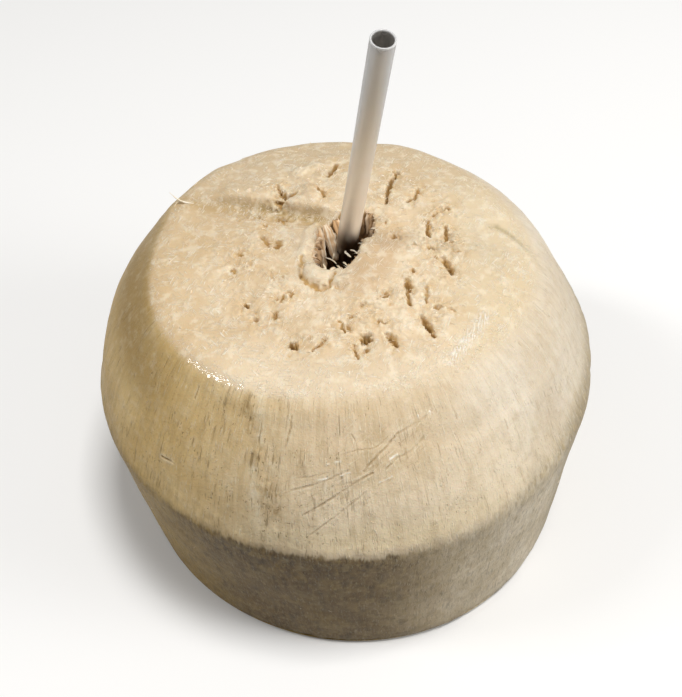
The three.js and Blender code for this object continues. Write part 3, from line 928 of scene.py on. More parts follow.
def make_piece(name, points, faces, material=None):
    """A mesh object from points in millimetres and lists of point numbers."""
    mesh = bpy.data.meshes.new(name)
    mesh.from_pydata((np.asarray(points) * MM).tolist(), [], [list(map(int, face)) for face in faces])
    mesh.polygons.foreach_set("use_smooth", [True] * len(mesh.polygons))
    if material:
        mesh.materials.append(material)
    piece = bpy.data.objects.new(name, mesh)
    bpy.context.scene.collection.objects.link(piece)
    return piece


def give(piece, name, values, kind="FLOAT"):
    """Keeps a value for every point of a piece, for its material to read."""
    attribute = piece.data.attributes.new(name, kind, "POINT")
    field = "vector" if kind == "FLOAT_VECTOR" else "value"
    attribute.data.foreach_set(field, np.asarray(values, dtype=np.float32).ravel())


husk = make_piece("coconut_husk", husk_points, husk_faces)
bm = bmesh.new()
bm.from_mesh(husk.data)
open_edges = sum(1 for edge in bm.edges if not edge.is_manifold)
print("husk triangles:", len(husk_faces), "open edges:", open_edges, "volume, cm3:",
      round(bm.calc_volume() * 1e6, 1))
bm.free()

# %% Values that the husk's material reads
def for_husk(outside_values, wall_values, base_values):
    """Values for every point of the husk, in the order of its mesh."""
    edge_values = np.full(edge_points_count, base_values)
    inner_values = np.full(len(base_points), base_values)
    return np.concatenate([outside_values, wall_values, edge_values, inner_values])


wall_shares = np.repeat(np.arange(1, WALL_RINGS + FLOOR_RINGS) / WALL_RINGS, MOUTH_POINTS)
wall_shares = np.clip(np.append(wall_shares, 1.0), 0, 1)
no_wall = np.zeros(len(wall_points))
# Front of the lower band under the shoulder: a stain, darkened further as painted shade.
stain_and_shade = near_angle(-118, -92, 24)
golden = 1 - smoothstep(np.abs((turn_degrees + 345) % 360 - 180), 20, 75)
TORN_EDGE = [(22.5, -36), (25, -33), (27.5, -30), (29.5, -27), (31.5, -24.5)]
torn_edge = np.exp(-(from_stroke(plan + 0.6 * warp, TORN_EDGE)[0] / 1.3) ** 2)
torn_edge *= np.clip(0.75 + 0.9 * noise_values(folded, 2.0, 28), 0, 1)

give(husk, "pit", for_husk(pit, no_wall, 0))
give(husk, "hole", for_husk(0.12 * edge_bend, 0.12 + 0.88 * wall_shares, 0))
give(husk, "top", for_husk(on_face, no_wall + 1, 0))
torn_white *= np.clip(0.6 + noise_values(folded, 1.0, 29), 0, 1)
give(husk, "torn_white", for_husk(torn_white, no_wall, 0))
give(husk, "scratch", for_husk(scratch, no_wall, 0))
give(husk, "cut_lip", for_husk(cut_lip, no_wall, 0))
give(husk, "scuffed", for_husk(scuffed, no_wall, 0))
give(husk, "near_pits", for_husk(near_pits * quiet, no_wall, 0))
give(husk, "groove", for_husk(groove, no_wall, 0))
give(husk, "sliver_and_glint", for_husk(sliver_and_glint, no_wall, 0))
give(husk, "bruise", for_husk(bruise, no_wall, 0))
give(husk, "pale_streak", for_husk(pale_streak, no_wall, 0))
give(husk, "torn_edge", for_husk(torn_edge, no_wall, 0))
give(husk, "seam", for_husk(seam_zone, no_wall, 0))
give(husk, "stain_and_shade", for_husk(stain_and_shade, no_wall, 0))
give(husk, "front", for_husk(near_angle(-96, -62, 26), no_wall, 0))
give(husk, "golden", for_husk(golden, no_wall, 0.5))
give(husk, "trough", for_husk(trough, no_wall, 0))
give(husk, "step_foot", for_husk(step_foot, no_wall, 0))
give(husk, "patch", for_husk(smooth_patch, no_wall, 0))
round_turn = np.arctan2(husk_points[:, 1], husk_points[:, 0])
give(husk, "grain", np.column_stack([np.cos(round_turn) * 64, np.sin(round_turn) * 64,
                                     husk_points[:, 2]]) * MM, "FLOAT_VECTOR")
print("values kept:", [a.name for a in husk.data.attributes if not a.name.startswith(".")][:12])

# %% [markdown]
# ## Finish of the husk
#
# Fresh young husk cut with a steel knife: a wet cellulose sponge with fibres running up it.
# Water fills it, so its surface is even and only half matt, with an index near water's, 1.38,
# and light spreads a little under it. Fibres cut along their length show on the sides as short
# upright dashes. A real bundle is about a quarter of a millimetre wide, which is too fine to
# show, so the dashes are drawn about half a millimetre wide. On the top the fibres are cut
# across and torn, and show as specks and fine hairs. Air browns the torn insides of the pits
# first.

# %% Husk colours and patterns
husk_finish = bpy.data.materials.new("cut_young_coconut_husk")
husk_finish.use_nodes = True
tree = husk_finish.node_tree
tree.nodes.clear()
place = add(tree, "ShaderNodeTexCoord").outputs["Object"]
height = add(tree, "ShaderNodeSeparateXYZ", Vector=place).outputs["Z"]


# The marks that the mesh keeps for every point, by name.
kept = {}
for mark in ("top", "front", "golden", "patch", "trough", "step_foot", "near_pits", "seam", "stain_and_shade",
             "bruise", "pale_streak", "pit", "scratch", "cut_lip", "sliver_and_glint", "scuffed", "groove",
             "torn_edge", "torn_white", "hole", "wet"):
    kept[mark] = add(tree, "ShaderNodeAttribute", {"attribute_name": mark}).outputs["Fac"]
on_top = kept["top"]
grain = add(tree, "ShaderNodeAttribute", {"attribute_name": "grain"}).outputs["Vector"]
blotches = add(tree, "ShaderNodeTexNoise", Vector=place, Scale=1 / 0.016, Detail=2, Roughness=0.55)
mottles = add(tree, "ShaderNodeTexNoise", Vector=place, Scale=1 / 0.0026, Detail=3, Roughness=0.55)
specks = add(tree, "ShaderNodeTexNoise", Vector=place, Scale=1 / 0.0007, Detail=2, Roughness=0.55)

blotches = add(tree, "ShaderNodeMapRange", SMOOTH, in0=blotches, in1=0.35, in2=0.65)
axes = add(tree, "ShaderNodeSeparateXYZ", Vector=place).outputs
top_colour = add(tree, "ShaderNodeMix", MIX, in0=blotches, in6=linear("#d4bb97"), in7=linear("#e3cdac"))
at_front = add(tree, "ShaderNodeMapRange", SMOOTH, in0=axes["Y"], in1=-0.026, in2=-0.040, in3=0,
               in4=0.3)
top_colour = add(tree, "ShaderNodeMix", MIX, in0=at_front, in6=top_colour, in7=linear("#eee2ca"))
at_left = add(tree, "ShaderNodeMapRange", SMOOTH, in0=axes["X"], in1=-0.012, in2=-0.046, in3=0, in4=0.7)
top_colour = add(tree, "ShaderNodeMix", MIX, in0=at_left, in6=top_colour, in7=linear("#d2b589"))
at_right = add(tree, "ShaderNodeMapRange", SMOOTH, in0=axes["X"], in1=0.014, in2=0.036, in3=0, in4=0.6)
top_colour = add(tree, "ShaderNodeMix", MIX, in0=at_right, in6=top_colour, in7=linear("#dac8a6"))
at_back = add(tree, "ShaderNodeMapRange", SMOOTH, in0=axes["Y"], in1=0.008, in2=0.034, in3=0, in4=0.85)
top_colour = add(tree, "ShaderNodeMix", MIX, in0=at_back, in6=top_colour, in7=linear("#ccb592"))
near_pits_mix = add(tree, "ShaderNodeMath", MULTIPLY,
                    in0=add(tree, "ShaderNodeMapRange", SMOOTH, in0=mottles, in1=0.38, in2=0.6,
                            in3=0.65, in4=0.1), in1=kept["near_pits"])
top_colour = add(tree, "ShaderNodeMix", MIX, in0=near_pits_mix, in6=top_colour, in7=linear("#cdac7c"))
patch_mix = add(tree, "ShaderNodeMath", MULTIPLY, in0=kept["patch"], in1=0.75)
top_colour = add(tree, "ShaderNodeMix", MIX, in0=patch_mix, in6=top_colour, in7=linear("#cbad87"))
# Painted shade: the band in front of the step is painted darker, as the step's shadow.
painted_step_shade = add(tree, "ShaderNodeMath", MULTIPLY, in0=kept["trough"], in1=0.62)
top_colour = add(tree, "ShaderNodeMix", MIX, in0=painted_step_shade, in6=top_colour, in7=linear("#b09364"))
# Painted shadow: the foot of the step is painted darker.
painted_step_foot_shadow = add(tree, "ShaderNodeMath", MULTIPLY, in0=kept["step_foot"],
               in1=add(tree, "ShaderNodeMapRange", SMOOTH, in0=mottles, in1=0.35, in2=0.6, in3=0.85,
                       in4=0.5))
top_colour = add(tree, "ShaderNodeMix", MIX, in0=painted_step_foot_shadow, in6=top_colour, in7=linear("#94793f"))
front_side = add(tree, "ShaderNodeMix", MIX, in0=blotches, in6=linear("#d4bd99"), in7=linear("#dec8a7"))
right_side = add(tree, "ShaderNodeMix", MIX, in0=blotches, in6=linear("#dacab1"), in7=linear("#e3d6c0"))
pale_side = add(tree, "ShaderNodeMix", MIX,
                in0=add(tree, "ShaderNodeMapRange", SMOOTH, in0=axes["X"], in1=0.006, in2=0.038),
                in6=front_side, in7=right_side)
# Painted shade: the upper band is painted darker towards its far right edge.
painted_shade_far_right = add(tree, "ShaderNodeMapRange", SMOOTH, in0=axes["X"], in1=0.052, in2=0.064, in3=0,
                in4=0.45)
pale_side = add(tree, "ShaderNodeMix", MIX, in0=painted_shade_far_right, in6=pale_side, in7=linear("#a8977a"))
# Painted light: the front of the upper band is painted paler below 74 mm, most of all below 63 mm.
painted_light_front = add(tree, "ShaderNodeMath", MULTIPLY, in0=kept["front"],
               in1=add(tree, "ShaderNodeMapRange", SMOOTH, in0=height, in1=0.074, in2=0.063, in3=0,
                       in4=0.75))
pale_side = add(tree, "ShaderNodeMix", MIX, in0=painted_light_front, in6=pale_side, in7=linear("#ffeccc"))
golden_side = add(tree, "ShaderNodeMix", MIX, in0=blotches, in6=linear("#dcbb7c"),
                  in7=linear("#e7ca90"))
# Painted shade: the upper band is painted darker towards its far left, most of all high up.
painted_shade_far_left = add(tree, "ShaderNodeMath", MULTIPLY,
               in0=add(tree, "ShaderNodeMapRange", SMOOTH, in0=axes["X"], in1=-0.030, in2=-0.052, in3=0,
                       in4=0.95),
               in1=add(tree, "ShaderNodeMapRange", SMOOTH, in0=height, in1=0.064, in2=0.076, in3=0.12,
                       in4=1))
golden_side = add(tree, "ShaderNodeMix", MIX, in0=painted_shade_far_left, in6=golden_side, in7=linear("#9a7e4b"))
side_colour = add(tree, "ShaderNodeMix", MIX, in0=kept["golden"], in6=pale_side, in7=golden_side)
colour = add(tree, "ShaderNodeMix", MIX, in0=on_top, in6=side_colour, in7=top_colour)
pale_mottles = add(tree, "ShaderNodeMath", MULTIPLY,
                   in0=add(tree, "ShaderNodeMapRange", SMOOTH, in0=mottles, in1=0.48, in2=0.68),
                   in1=add(tree, "ShaderNodeMapRange", SMOOTH, in0=on_top, in1=0, in2=1, in3=0.14,
                           in4=0.4))
colour = add(tree, "ShaderNodeMix", MIX, in0=pale_mottles, in6=colour, in7=linear("#f4e8cf"))
print("husk material begun, nodes:", len(tree.nodes))

# %% Fibres of the sides: upright dashes, dark and light
def dashes(tree, vector, width, length, low, high, seed):
    """Short streaks along Z: 1 in the middle of a streak and 0 between them."""
    settings = {"vector_type": "POINT"}
    moved = add(tree, "ShaderNodeMapping", settings, Vector=vector, Location=(seed, seed, seed),
                Scale=(1 / width, 1 / width, 1 / length)).outputs[0]
    pattern = add(tree, "ShaderNodeTexNoise", Vector=moved, Scale=1.0, Detail=2.0, Roughness=0.5)
    return add(tree, "ShaderNodeMapRange", SMOOTH, in0=pattern.outputs[0], in1=low, in2=high)


patches = add(tree, "ShaderNodeTexNoise", Vector=place, Scale=1 / 0.009, Detail=2, Roughness=0.55)
seam_kept = kept["seam"]
on_side = add(tree, "ShaderNodeMath", SUBTRACT, in0=1.0, in1=on_top)
fewer_right = add(tree, "ShaderNodeMapRange", SMOOTH, in0=axes["X"], in1=-0.01, in2=0.03, in3=1,
                  in4=0.55)
more_here = add(tree, "ShaderNodeMath", MULTIPLY,
                in0=add(tree, "ShaderNodeMapRange", SMOOTH, in0=patches, in1=0.4, in2=0.6, in3=0.3,
                        in4=0.95), in1=fewer_right)
more_here = add(tree, "ShaderNodeMath", ADD, in0=more_here,
                in1=add(tree, "ShaderNodeMath", MULTIPLY, in0=seam_kept, in1=0.8))
dots = add(tree, "ShaderNodeMath", MULTIPLY, in0=dashes(tree, grain, 0.0005, 0.0009, 0.63, 0.74, 3.1),
           in1=more_here)
dark_dashes = dashes(tree, grain, 0.00065, 0.004, 0.58, 0.76, 5.9)
dark_dashes = add(tree, "ShaderNodeMath", MULTIPLY, in0=dark_dashes, in1=more_here)
dark_dashes = add(tree, "ShaderNodeMath", {"operation": "MAXIMUM", "use_clamp": True}, in0=dots,
                  in1=dark_dashes)
light_dashes = dashes(tree, grain, 0.00045, 0.0022, 0.56, 0.74, 7.7)
long_streaks = dashes(tree, grain, 0.0013, 0.014, 0.4, 0.7, 11.3)
stains = add(tree, "ShaderNodeMath", MULTIPLY, in0=dashes(tree, grain, 0.0035, 0.008, 0.52, 0.7, 17.0),
             in1=on_side)
stains = add(tree, "ShaderNodeMath", MULTIPLY, in0=stains, in1=fewer_right)
side_dark = add(tree, "ShaderNodeMath", MULTIPLY, in0=dark_dashes, in1=on_side)
side_light = add(tree, "ShaderNodeMath", MULTIPLY, in0=light_dashes, in1=on_side)
side_streak = add(tree, "ShaderNodeMath", MULTIPLY, in0=long_streaks,
                  in1=add(tree, "ShaderNodeMath", MULTIPLY, in0=on_side, in1=fewer_right))
print("dashes on the sides, nodes:", len(tree.nodes))

# %% [markdown]
# ## Browner lower band
#
# The lower band is browner, and under the shoulder at the front it is stained and darkened
# with painted shade. Both have an upper edge that runs up and down with the fibres. A straight
# edge would look painted, so the height is shifted by the fibres' own pattern before the edge is drawn.

# %% Edge of the lower band
fibre_ends = add(tree, "ShaderNodeMath", ADD, in0=dashes(tree, grain, 0.0006, 0.0035, 0.25, 0.75, 23.0),
                 in1=dashes(tree, grain, 0.0024, 0.012, 0.3, 0.7, 24.0))
fibre_ends = add(tree, "ShaderNodeMath", ADD, in0=fibre_ends,
                 in1=add(tree, "ShaderNodeMath", MULTIPLY,
                         in0=add(tree, "ShaderNodeTexNoise", Vector=place, Scale=1 / 0.0045, Detail=3,
                                 Roughness=0.55), in1=2.2))
edge_height = add(tree, "ShaderNodeMath", SUBTRACT, in0=height,
                  in1=add(tree, "ShaderNodeMath", MULTIPLY, in0=fibre_ends, in1=0.0011))
edge_height = add(tree, "ShaderNodeMath", ADD, in0=edge_height,
                  in1=add(tree, "ShaderNodeMapRange", SMOOTH, in0=axes["X"], in1=-0.01, in2=0.01,
                          in3=0.001, in4=0.0022))
edge_height = add(tree, "ShaderNodeMath", SUBTRACT, in0=edge_height,
                  in1=add(tree, "ShaderNodeMapRange", SMOOTH, in0=axes["X"], in1=0.028, in2=0.047,
                          in3=0, in4=0.0045))
stain_and_shade_kept = kept["stain_and_shade"]
crisp_edge = add(tree, "ShaderNodeMapRange", SMOOTH, in0=edge_height, in1=0.0503, in2=0.0482)
soft_edge = add(tree, "ShaderNodeMapRange", SMOOTH, in0=edge_height, in1=0.0548, in2=0.0462)
crisp_share = add(tree, "ShaderNodeMapRange", SMOOTH, in0=stain_and_shade_kept, in1=0, in2=0.8, in3=0, in4=0.65)
below = add(tree, "ShaderNodeMath", ADD,
            in0=add(tree, "ShaderNodeMath", MULTIPLY, in0=crisp_edge, in1=crisp_share),
            in1=add(tree, "ShaderNodeMath", MULTIPLY, in0=soft_edge,
                    in1=add(tree, "ShaderNodeMath", SUBTRACT, in0=1.0, in1=crisp_share)))
print("edge of the lower band, nodes:", len(tree.nodes))

# %% Colours of the lower band
lower_left = add(tree, "ShaderNodeMix", MIX, in0=blotches, in6=linear("#a58544"), in7=linear("#bd9d58"))
lower_right = add(tree, "ShaderNodeMix", MIX, in0=blotches, in6=linear("#dacbaf"),
                  in7=linear("#eaddc5"))
# Painted shade: the lower band is painted darker towards its far right edge.
painted_shade_low_far_right = add(tree, "ShaderNodeMapRange", SMOOTH, in0=axes["X"], in1=0.045, in2=0.054, in3=0,
                    in4=0.75)
lower_right = add(tree, "ShaderNodeMix", MIX, in0=painted_shade_low_far_right, in6=lower_right, in7=linear("#8f8064"))
to_right = add(tree, "ShaderNodeMapRange", SMOOTH, in0=axes["X"], in1=-0.016, in2=0.034)
lower_colour = add(tree, "ShaderNodeMix", MIX, in0=to_right, in6=lower_left, in7=lower_right)
# Stain and painted shade: the front under the shoulder is painted dark brown, partly as a stain and partly as
# the shoulder's shade.
stain_and_shade_spots = add(tree, "ShaderNodeMath", MULTIPLY,
                  in0=dashes(tree, grain, 0.0026, 0.005, 0.42, 0.56, 29.0),
                  in1=add(tree, "ShaderNodeMapRange", SMOOTH, in0=height, in1=0.02, in2=0.046, in3=0.8,
                          in4=1))
stain_and_shade_wash = add(tree, "ShaderNodeMapRange", SMOOTH, in0=patches, in1=0.4, in2=0.58, in3=0.62, in4=0.92)
stain_and_shade_mix = add(tree, "ShaderNodeMath", MAXIMUM, in0=stain_and_shade_spots, in1=stain_and_shade_wash)
stain_and_shade_mix = add(tree, "ShaderNodeMath", MULTIPLY, in0=stain_and_shade_mix, in1=stain_and_shade_kept)
lower_colour = add(tree, "ShaderNodeMix", MIX,
                   in0=add(tree, "ShaderNodeMath", MULTIPLY, in0=stain_and_shade_mix, in1=0.9), in6=lower_colour,
                   in7=linear("#523917"))
lower_mottles = add(tree, "ShaderNodeMath", MULTIPLY,
                    in0=dashes(tree, grain, 0.0012, 0.003, 0.5, 0.64, 31.0),
                    in1=add(tree, "ShaderNodeMapRange", SMOOTH, in0=to_right, in1=0, in2=1, in3=0.45,
                            in4=0.14))
lower_colour = add(tree, "ShaderNodeMix", MIX, in0=lower_mottles, in6=lower_colour,
                   in7=linear("#7b6540"))
# Dark smudges, strongest at the front under the shoulder, where they add to the painted shade.
smudges_and_shade = add(tree, "ShaderNodeMath", MULTIPLY,
              in0=dashes(tree, grain, 0.0011, 0.0032, 0.48, 0.6, 41.0),
              in1=add(tree, "ShaderNodeMapRange", SMOOTH, in0=height, in1=0.038, in2=0.047, in3=0.1,
                      in4=0.75))
smudges_and_shade = add(tree, "ShaderNodeMath", MULTIPLY, in0=smudges_and_shade,
              in1=add(tree, "ShaderNodeMapRange", SMOOTH, in0=stain_and_shade_kept, in1=0, in2=1, in3=0.2, in4=1))
lower_colour = add(tree, "ShaderNodeMix", MIX, in0=smudges_and_shade, in6=lower_colour, in7=linear("#4a3714"))
low_pale = add(tree, "ShaderNodeMath", MULTIPLY, in0=dashes(tree, grain, 0.0009, 0.002, 0.5, 0.7, 43.0),
               in1=0.36)
lower_colour = add(tree, "ShaderNodeMix", MIX, in0=low_pale, in6=lower_colour, in7=linear("#c4ad7c"))
low_dark = add(tree, "ShaderNodeMath", MULTIPLY,
               in0=dashes(tree, grain, 0.0008, 0.003, 0.54, 0.7, 47.0), in1=0.36)
lower_colour = add(tree, "ShaderNodeMix", MIX, in0=low_dark, in6=lower_colour, in7=linear("#675330"))
rubbed = add(tree, "ShaderNodeMath", MULTIPLY,
             in0=add(tree, "ShaderNodeMapRange", SMOOTH,
                     in0=add(tree, "ShaderNodeTexNoise", Vector=place, Scale=1 / 0.0042, Detail=4,
                             Roughness=0.55), in1=0.5, in2=0.66), in1=0.34)
lower_colour = add(tree, "ShaderNodeMix", MIX, in0=rubbed, in6=lower_colour, in7=linear("#b9a478"))
# Dark blotches all round, stronger at the front under the shoulder as painted shade.
damp_and_shade = add(tree, "ShaderNodeMath", MULTIPLY,
           in0=add(tree, "ShaderNodeMapRange", SMOOTH,
                   in0=add(tree, "ShaderNodeTexNoise", Vector=grain, Scale=1 / 0.0034, Detail=4,
                           Roughness=0.55), in1=0.5, in2=0.64),
           in1=add(tree, "ShaderNodeMapRange", SMOOTH, in0=stain_and_shade_kept, in1=0, in2=1, in3=0.12, in4=0.5))
lower_colour = add(tree, "ShaderNodeMix", MIX, in0=damp_and_shade, in6=lower_colour, in7=linear("#4a3a1c"))
colour = add(tree, "ShaderNodeMix", MIX, in0=below, in6=colour, in7=lower_colour)
above_edge = add(tree, "ShaderNodeMath", MULTIPLY,
                 in0=add(tree, "ShaderNodeMapRange", SMOOTH, in0=edge_height, in1=0.0503, in2=0.0525),
                 in1=add(tree, "ShaderNodeMapRange", SMOOTH, in0=height, in1=0.062, in2=0.055))
above_edge = add(tree, "ShaderNodeMath", MULTIPLY, in0=above_edge,
                 in1=add(tree, "ShaderNodeMapRange", SMOOTH, in0=axes["X"], in1=-0.034, in2=-0.020,
                         in3=0, in4=0.6))
above_edge = add(tree, "ShaderNodeMath", MULTIPLY, in0=above_edge,
                 in1=add(tree, "ShaderNodeMapRange", SMOOTH, in0=axes["X"], in1=0.016, in2=0.04, in3=1,
                         in4=0.15))
colour = add(tree, "ShaderNodeMix", MIX, in0=above_edge, in6=colour, in7=linear("#efdbb3"))
print("colours of the lower band, nodes:", len(tree.nodes))

# %% Streaks, bruises and pale lines of the sides
colour = add(tree, "ShaderNodeMix", MIX,
             in0=add(tree, "ShaderNodeMath", MULTIPLY, in0=side_streak, in1=0.24), in6=colour,
             in7=linear("#ab8f60"))
colour = add(tree, "ShaderNodeMix", MIX, in0=add(tree, "ShaderNodeMath", MULTIPLY, in0=stains, in1=0.2),
             in6=colour, in7=linear("#a08556"))
side_mottles = add(tree, "ShaderNodeMapRange", SMOOTH,
                   in0=add(tree, "ShaderNodeTexNoise", Vector=grain, Scale=1 / 0.0026, Detail=4,
                           Roughness=0.55), in1=0.5, in2=0.66)
side_mottles = add(tree, "ShaderNodeMath", MULTIPLY, in0=side_mottles,
                   in1=add(tree, "ShaderNodeMath", MULTIPLY, in0=on_side, in1=0.18))
colour = add(tree, "ShaderNodeMix", MIX, in0=side_mottles, in6=colour, in7=linear("#b39b70"))
bruise_lines = dashes(tree, grain, 0.0006, 0.0022, 0.38, 0.6, 37.0)
bruise_mix = add(tree, "ShaderNodeMath", MULTIPLY,
                 in0=add(tree, "ShaderNodeMapRange", SMOOTH, in0=bruise_lines, in1=0, in2=1, in3=0.25,
                         in4=0.9), in1=kept["bruise"])
colour = add(tree, "ShaderNodeMix", MIX, in0=bruise_mix, in6=colour, in7=linear("#8c7044"))
light_here = add(tree, "ShaderNodeMath", MULTIPLY,
                 in0=add(tree, "ShaderNodeMapRange", SMOOTH, in0=height, in1=0.044, in2=0.052, in3=0.18,
                         in4=0.42),
                 in1=add(tree, "ShaderNodeMapRange", SMOOTH, in0=axes["X"], in1=-0.050, in2=-0.026,
                         in3=0.3, in4=1))
colour = add(tree, "ShaderNodeMix", MIX,
             in0=add(tree, "ShaderNodeMath", MULTIPLY, in0=side_light, in1=light_here), in6=colour,
             in7=linear("#f3e7cb"))
colour = add(tree, "ShaderNodeMix", MIX, in0=kept["pale_streak"], in6=colour, in7=linear("#eedfc0"))
colour = add(tree, "ShaderNodeMix", MIX,
             in0=add(tree, "ShaderNodeMath", MULTIPLY, in0=side_dark, in1=0.6), in6=colour,
             in7=linear("#80673f"))
print("colours of the sides, nodes:", len(tree.nodes))

# %% Fibres of the top: fine hairs in four directions, and specks
hair_lines = 0.0
for number, turned in enumerate((-20, 35, 80, 140)):
    vector = add(tree, "ShaderNodeMapping", STRETCH, Vector=place,
                 Location=(1.7 * number, 1.7 * number * 0.7, 0), Rotation=(0, 0, math.radians(turned)),
                 Scale=(0.00026, 0.0032, 0.00026))
    pattern = add(tree, "ShaderNodeTexNoise", Vector=vector, Scale=1.0, Detail=1.0, Roughness=0.4,
                  Distortion=0.6)
    lines = add(tree, "ShaderNodeMapRange", SMOOTH, in0=pattern.outputs[0], in1=0.6, in2=0.7)
    where = add(tree, "ShaderNodeMapRange", SMOOTH,
                in0=add(tree, "ShaderNodeTexNoise", Vector=place, Scale=1 / (0.003 + 0.001 * number),
                        Detail=1, Roughness=0.55), in1=0.46, in2=0.58)
    lines = add(tree, "ShaderNodeMath", MULTIPLY, in0=lines, in1=where)
    hair_lines = add(tree, "ShaderNodeMath", MAXIMUM, in0=lines, in1=hair_lines)
top_hairs = add(tree, "ShaderNodeMath", MULTIPLY, in0=hair_lines, in1=on_top)
dark_specks = add(tree, "ShaderNodeMath", MULTIPLY,
                  in0=add(tree, "ShaderNodeMapRange", SMOOTH, in0=specks, in1=0.68, in2=0.76),
                  in1=on_top)
colour = add(tree, "ShaderNodeMix", MIX,
             in0=add(tree, "ShaderNodeMath", MULTIPLY, in0=top_hairs, in1=0.6), in6=colour,
             in7=linear("#f8eed9"))
colour = add(tree, "ShaderNodeMix", MIX,
             in0=add(tree, "ShaderNodeMath", MULTIPLY, in0=dark_specks, in1=0.5), in6=colour,
             in7=linear("#ac9468"))
print("hairs on the top, nodes:", len(tree.nodes))

# %% Marks, pits and the hole, browned and darkened with depth as painted shade
pits = kept["pit"]
scratches_kept = kept["scratch"]
hole = kept["hole"]
sliver_and_glint_kept = kept["sliver_and_glint"]
scuffs = add(tree, "ShaderNodeMapping", STRETCH, Vector=grain,
             Rotation=(0, math.radians(-22), 0), Scale=(0.005, 0.0005, 0.0004)).outputs[0]
scuffs = add(tree, "ShaderNodeTexNoise", Vector=scuffs, Scale=1.0, Detail=2.0, Roughness=0.6).outputs[0]
scuffed_kept = kept["scuffed"]
dark_scuffs = add(tree, "ShaderNodeMath", MULTIPLY,
                  in0=add(tree, "ShaderNodeMapRange", SMOOTH, in0=scuffs, in1=0.6, in2=0.72, in3=0,
                          in4=0.5), in1=scuffed_kept)
pale_scuffs = add(tree, "ShaderNodeMath", MULTIPLY,
                  in0=add(tree, "ShaderNodeMapRange", SMOOTH, in0=scuffs, in1=0.42, in2=0.3, in3=0,
                          in4=0.5), in1=scuffed_kept)
colour = add(tree, "ShaderNodeMix", MIX, in0=dark_scuffs, in6=colour, in7=linear("#9c8058"))
colour = add(tree, "ShaderNodeMix", MIX, in0=pale_scuffs, in6=colour, in7=linear("#f0e3c9"))
cut_lips = add(tree, "ShaderNodeMath", MULTIPLY, in0=kept["cut_lip"], in1=0.4)
colour = add(tree, "ShaderNodeMix", MIX, in0=cut_lips, in6=colour, in7=linear("#f3e6cb"))
colour = add(tree, "ShaderNodeMix", MIX,
             in0=add(tree, "ShaderNodeMath", {"operation": "MULTIPLY", "use_clamp": True},
                     in0=scratches_kept, in1=0.65), in6=colour, in7=linear("#96794f"))
# Slivers: lifted white fibre, painted near white also as a painted glint.
colour = add(tree, "ShaderNodeMix", MIX, in0=sliver_and_glint_kept, in6=colour, in7=linear("#fff8e8"))
# Painted shade: the groove on the right of the top is painted darker, as its shadow.
colour = add(tree, "ShaderNodeMix", MIX,
             in0=add(tree, "ShaderNodeMath", MULTIPLY, in0=kept["groove"], in1=0.7), in6=colour,
             in7=linear("#9c8c64"))
# White streaks of torn fibre on the worn front-right edge, painted near white also as a painted glint.
torn_vector = add(tree, "ShaderNodeMapping", STRETCH, Vector=place, Location=(4.0, 4.0 * 0.7, 0),
                  Rotation=(0, 0, math.radians(-8)), Scale=(0.0003, 0.0026, 0.0003))
torn_fibres_and_glint = add(tree, "ShaderNodeTexNoise", Vector=torn_vector, Scale=1.0, Detail=1.0)
torn_fibres_and_glint = add(tree, "ShaderNodeMath", MULTIPLY,
                 in0=add(tree, "ShaderNodeMapRange", SMOOTH, in0=torn_fibres_and_glint, in1=0.42, in2=0.58, in3=0,
                         in4=0.75), in1=kept["torn_edge"])
colour = add(tree, "ShaderNodeMix", MIX, in0=torn_fibres_and_glint, in6=colour, in7=linear("#fffaf0"))
colour = add(tree, "ShaderNodeMix", MIX,
             in0=add(tree, "ShaderNodeMath", {"operation": "MULTIPLY", "use_clamp": True},
                     in0=kept["torn_white"], in1=0.8), in6=colour, in7=linear("#f7e9cc"))
colour = add(tree, "ShaderNodeMix", MIX,
             in0=add(tree, "ShaderNodeMapRange", SMOOTH, in0=pits, in1=0.06, in2=0.45, in3=0, in4=0.9),
             in6=colour, in7=linear("#c39e63"))
colour = add(tree, "ShaderNodeMix", MIX,
             in0=add(tree, "ShaderNodeMapRange", SMOOTH, in0=pits, in1=0.4, in2=0.95, in3=0, in4=0.88),
             in6=colour, in7=linear("#85612c"))
# The hole is browned at its mouth, and the ramp darkens it further with depth as painted shade.
hole_brown_and_shade_ramp = add(tree, "ShaderNodeValToRGB", Fac=hole)
ramp_colours = [(0.0, "#e3cca8"), (0.14, "#c9a371"), (0.24, "#9a6f40"), (0.45, "#85592f"), (0.8, "#5c3e25")]
while len(hole_brown_and_shade_ramp.color_ramp.elements) < len(ramp_colours):
    hole_brown_and_shade_ramp.color_ramp.elements.new(0.5)
for element, (position, tone) in zip(hole_brown_and_shade_ramp.color_ramp.elements, ramp_colours):
    element.position = position
    element.color = linear(tone)
hole_fibres = dashes(tree, place, 0.0006, 0.006, 0.4, 0.66, 5.0)
hole_brown_and_shade = add(tree, "ShaderNodeMix", MIX,
                  in0=add(tree, "ShaderNodeMath", MULTIPLY, in0=hole_fibres, in1=0.3),
                  in6=hole_brown_and_shade_ramp.outputs[0], in7=linear("#c9a983"))
colour = add(tree, "ShaderNodeMix", MIX,
             in0=add(tree, "ShaderNodeMapRange", SMOOTH, in0=hole, in1=0.02, in2=0.14), in6=colour,
             in7=hole_brown_and_shade)
print("marks and hole, nodes:", len(tree.nodes))

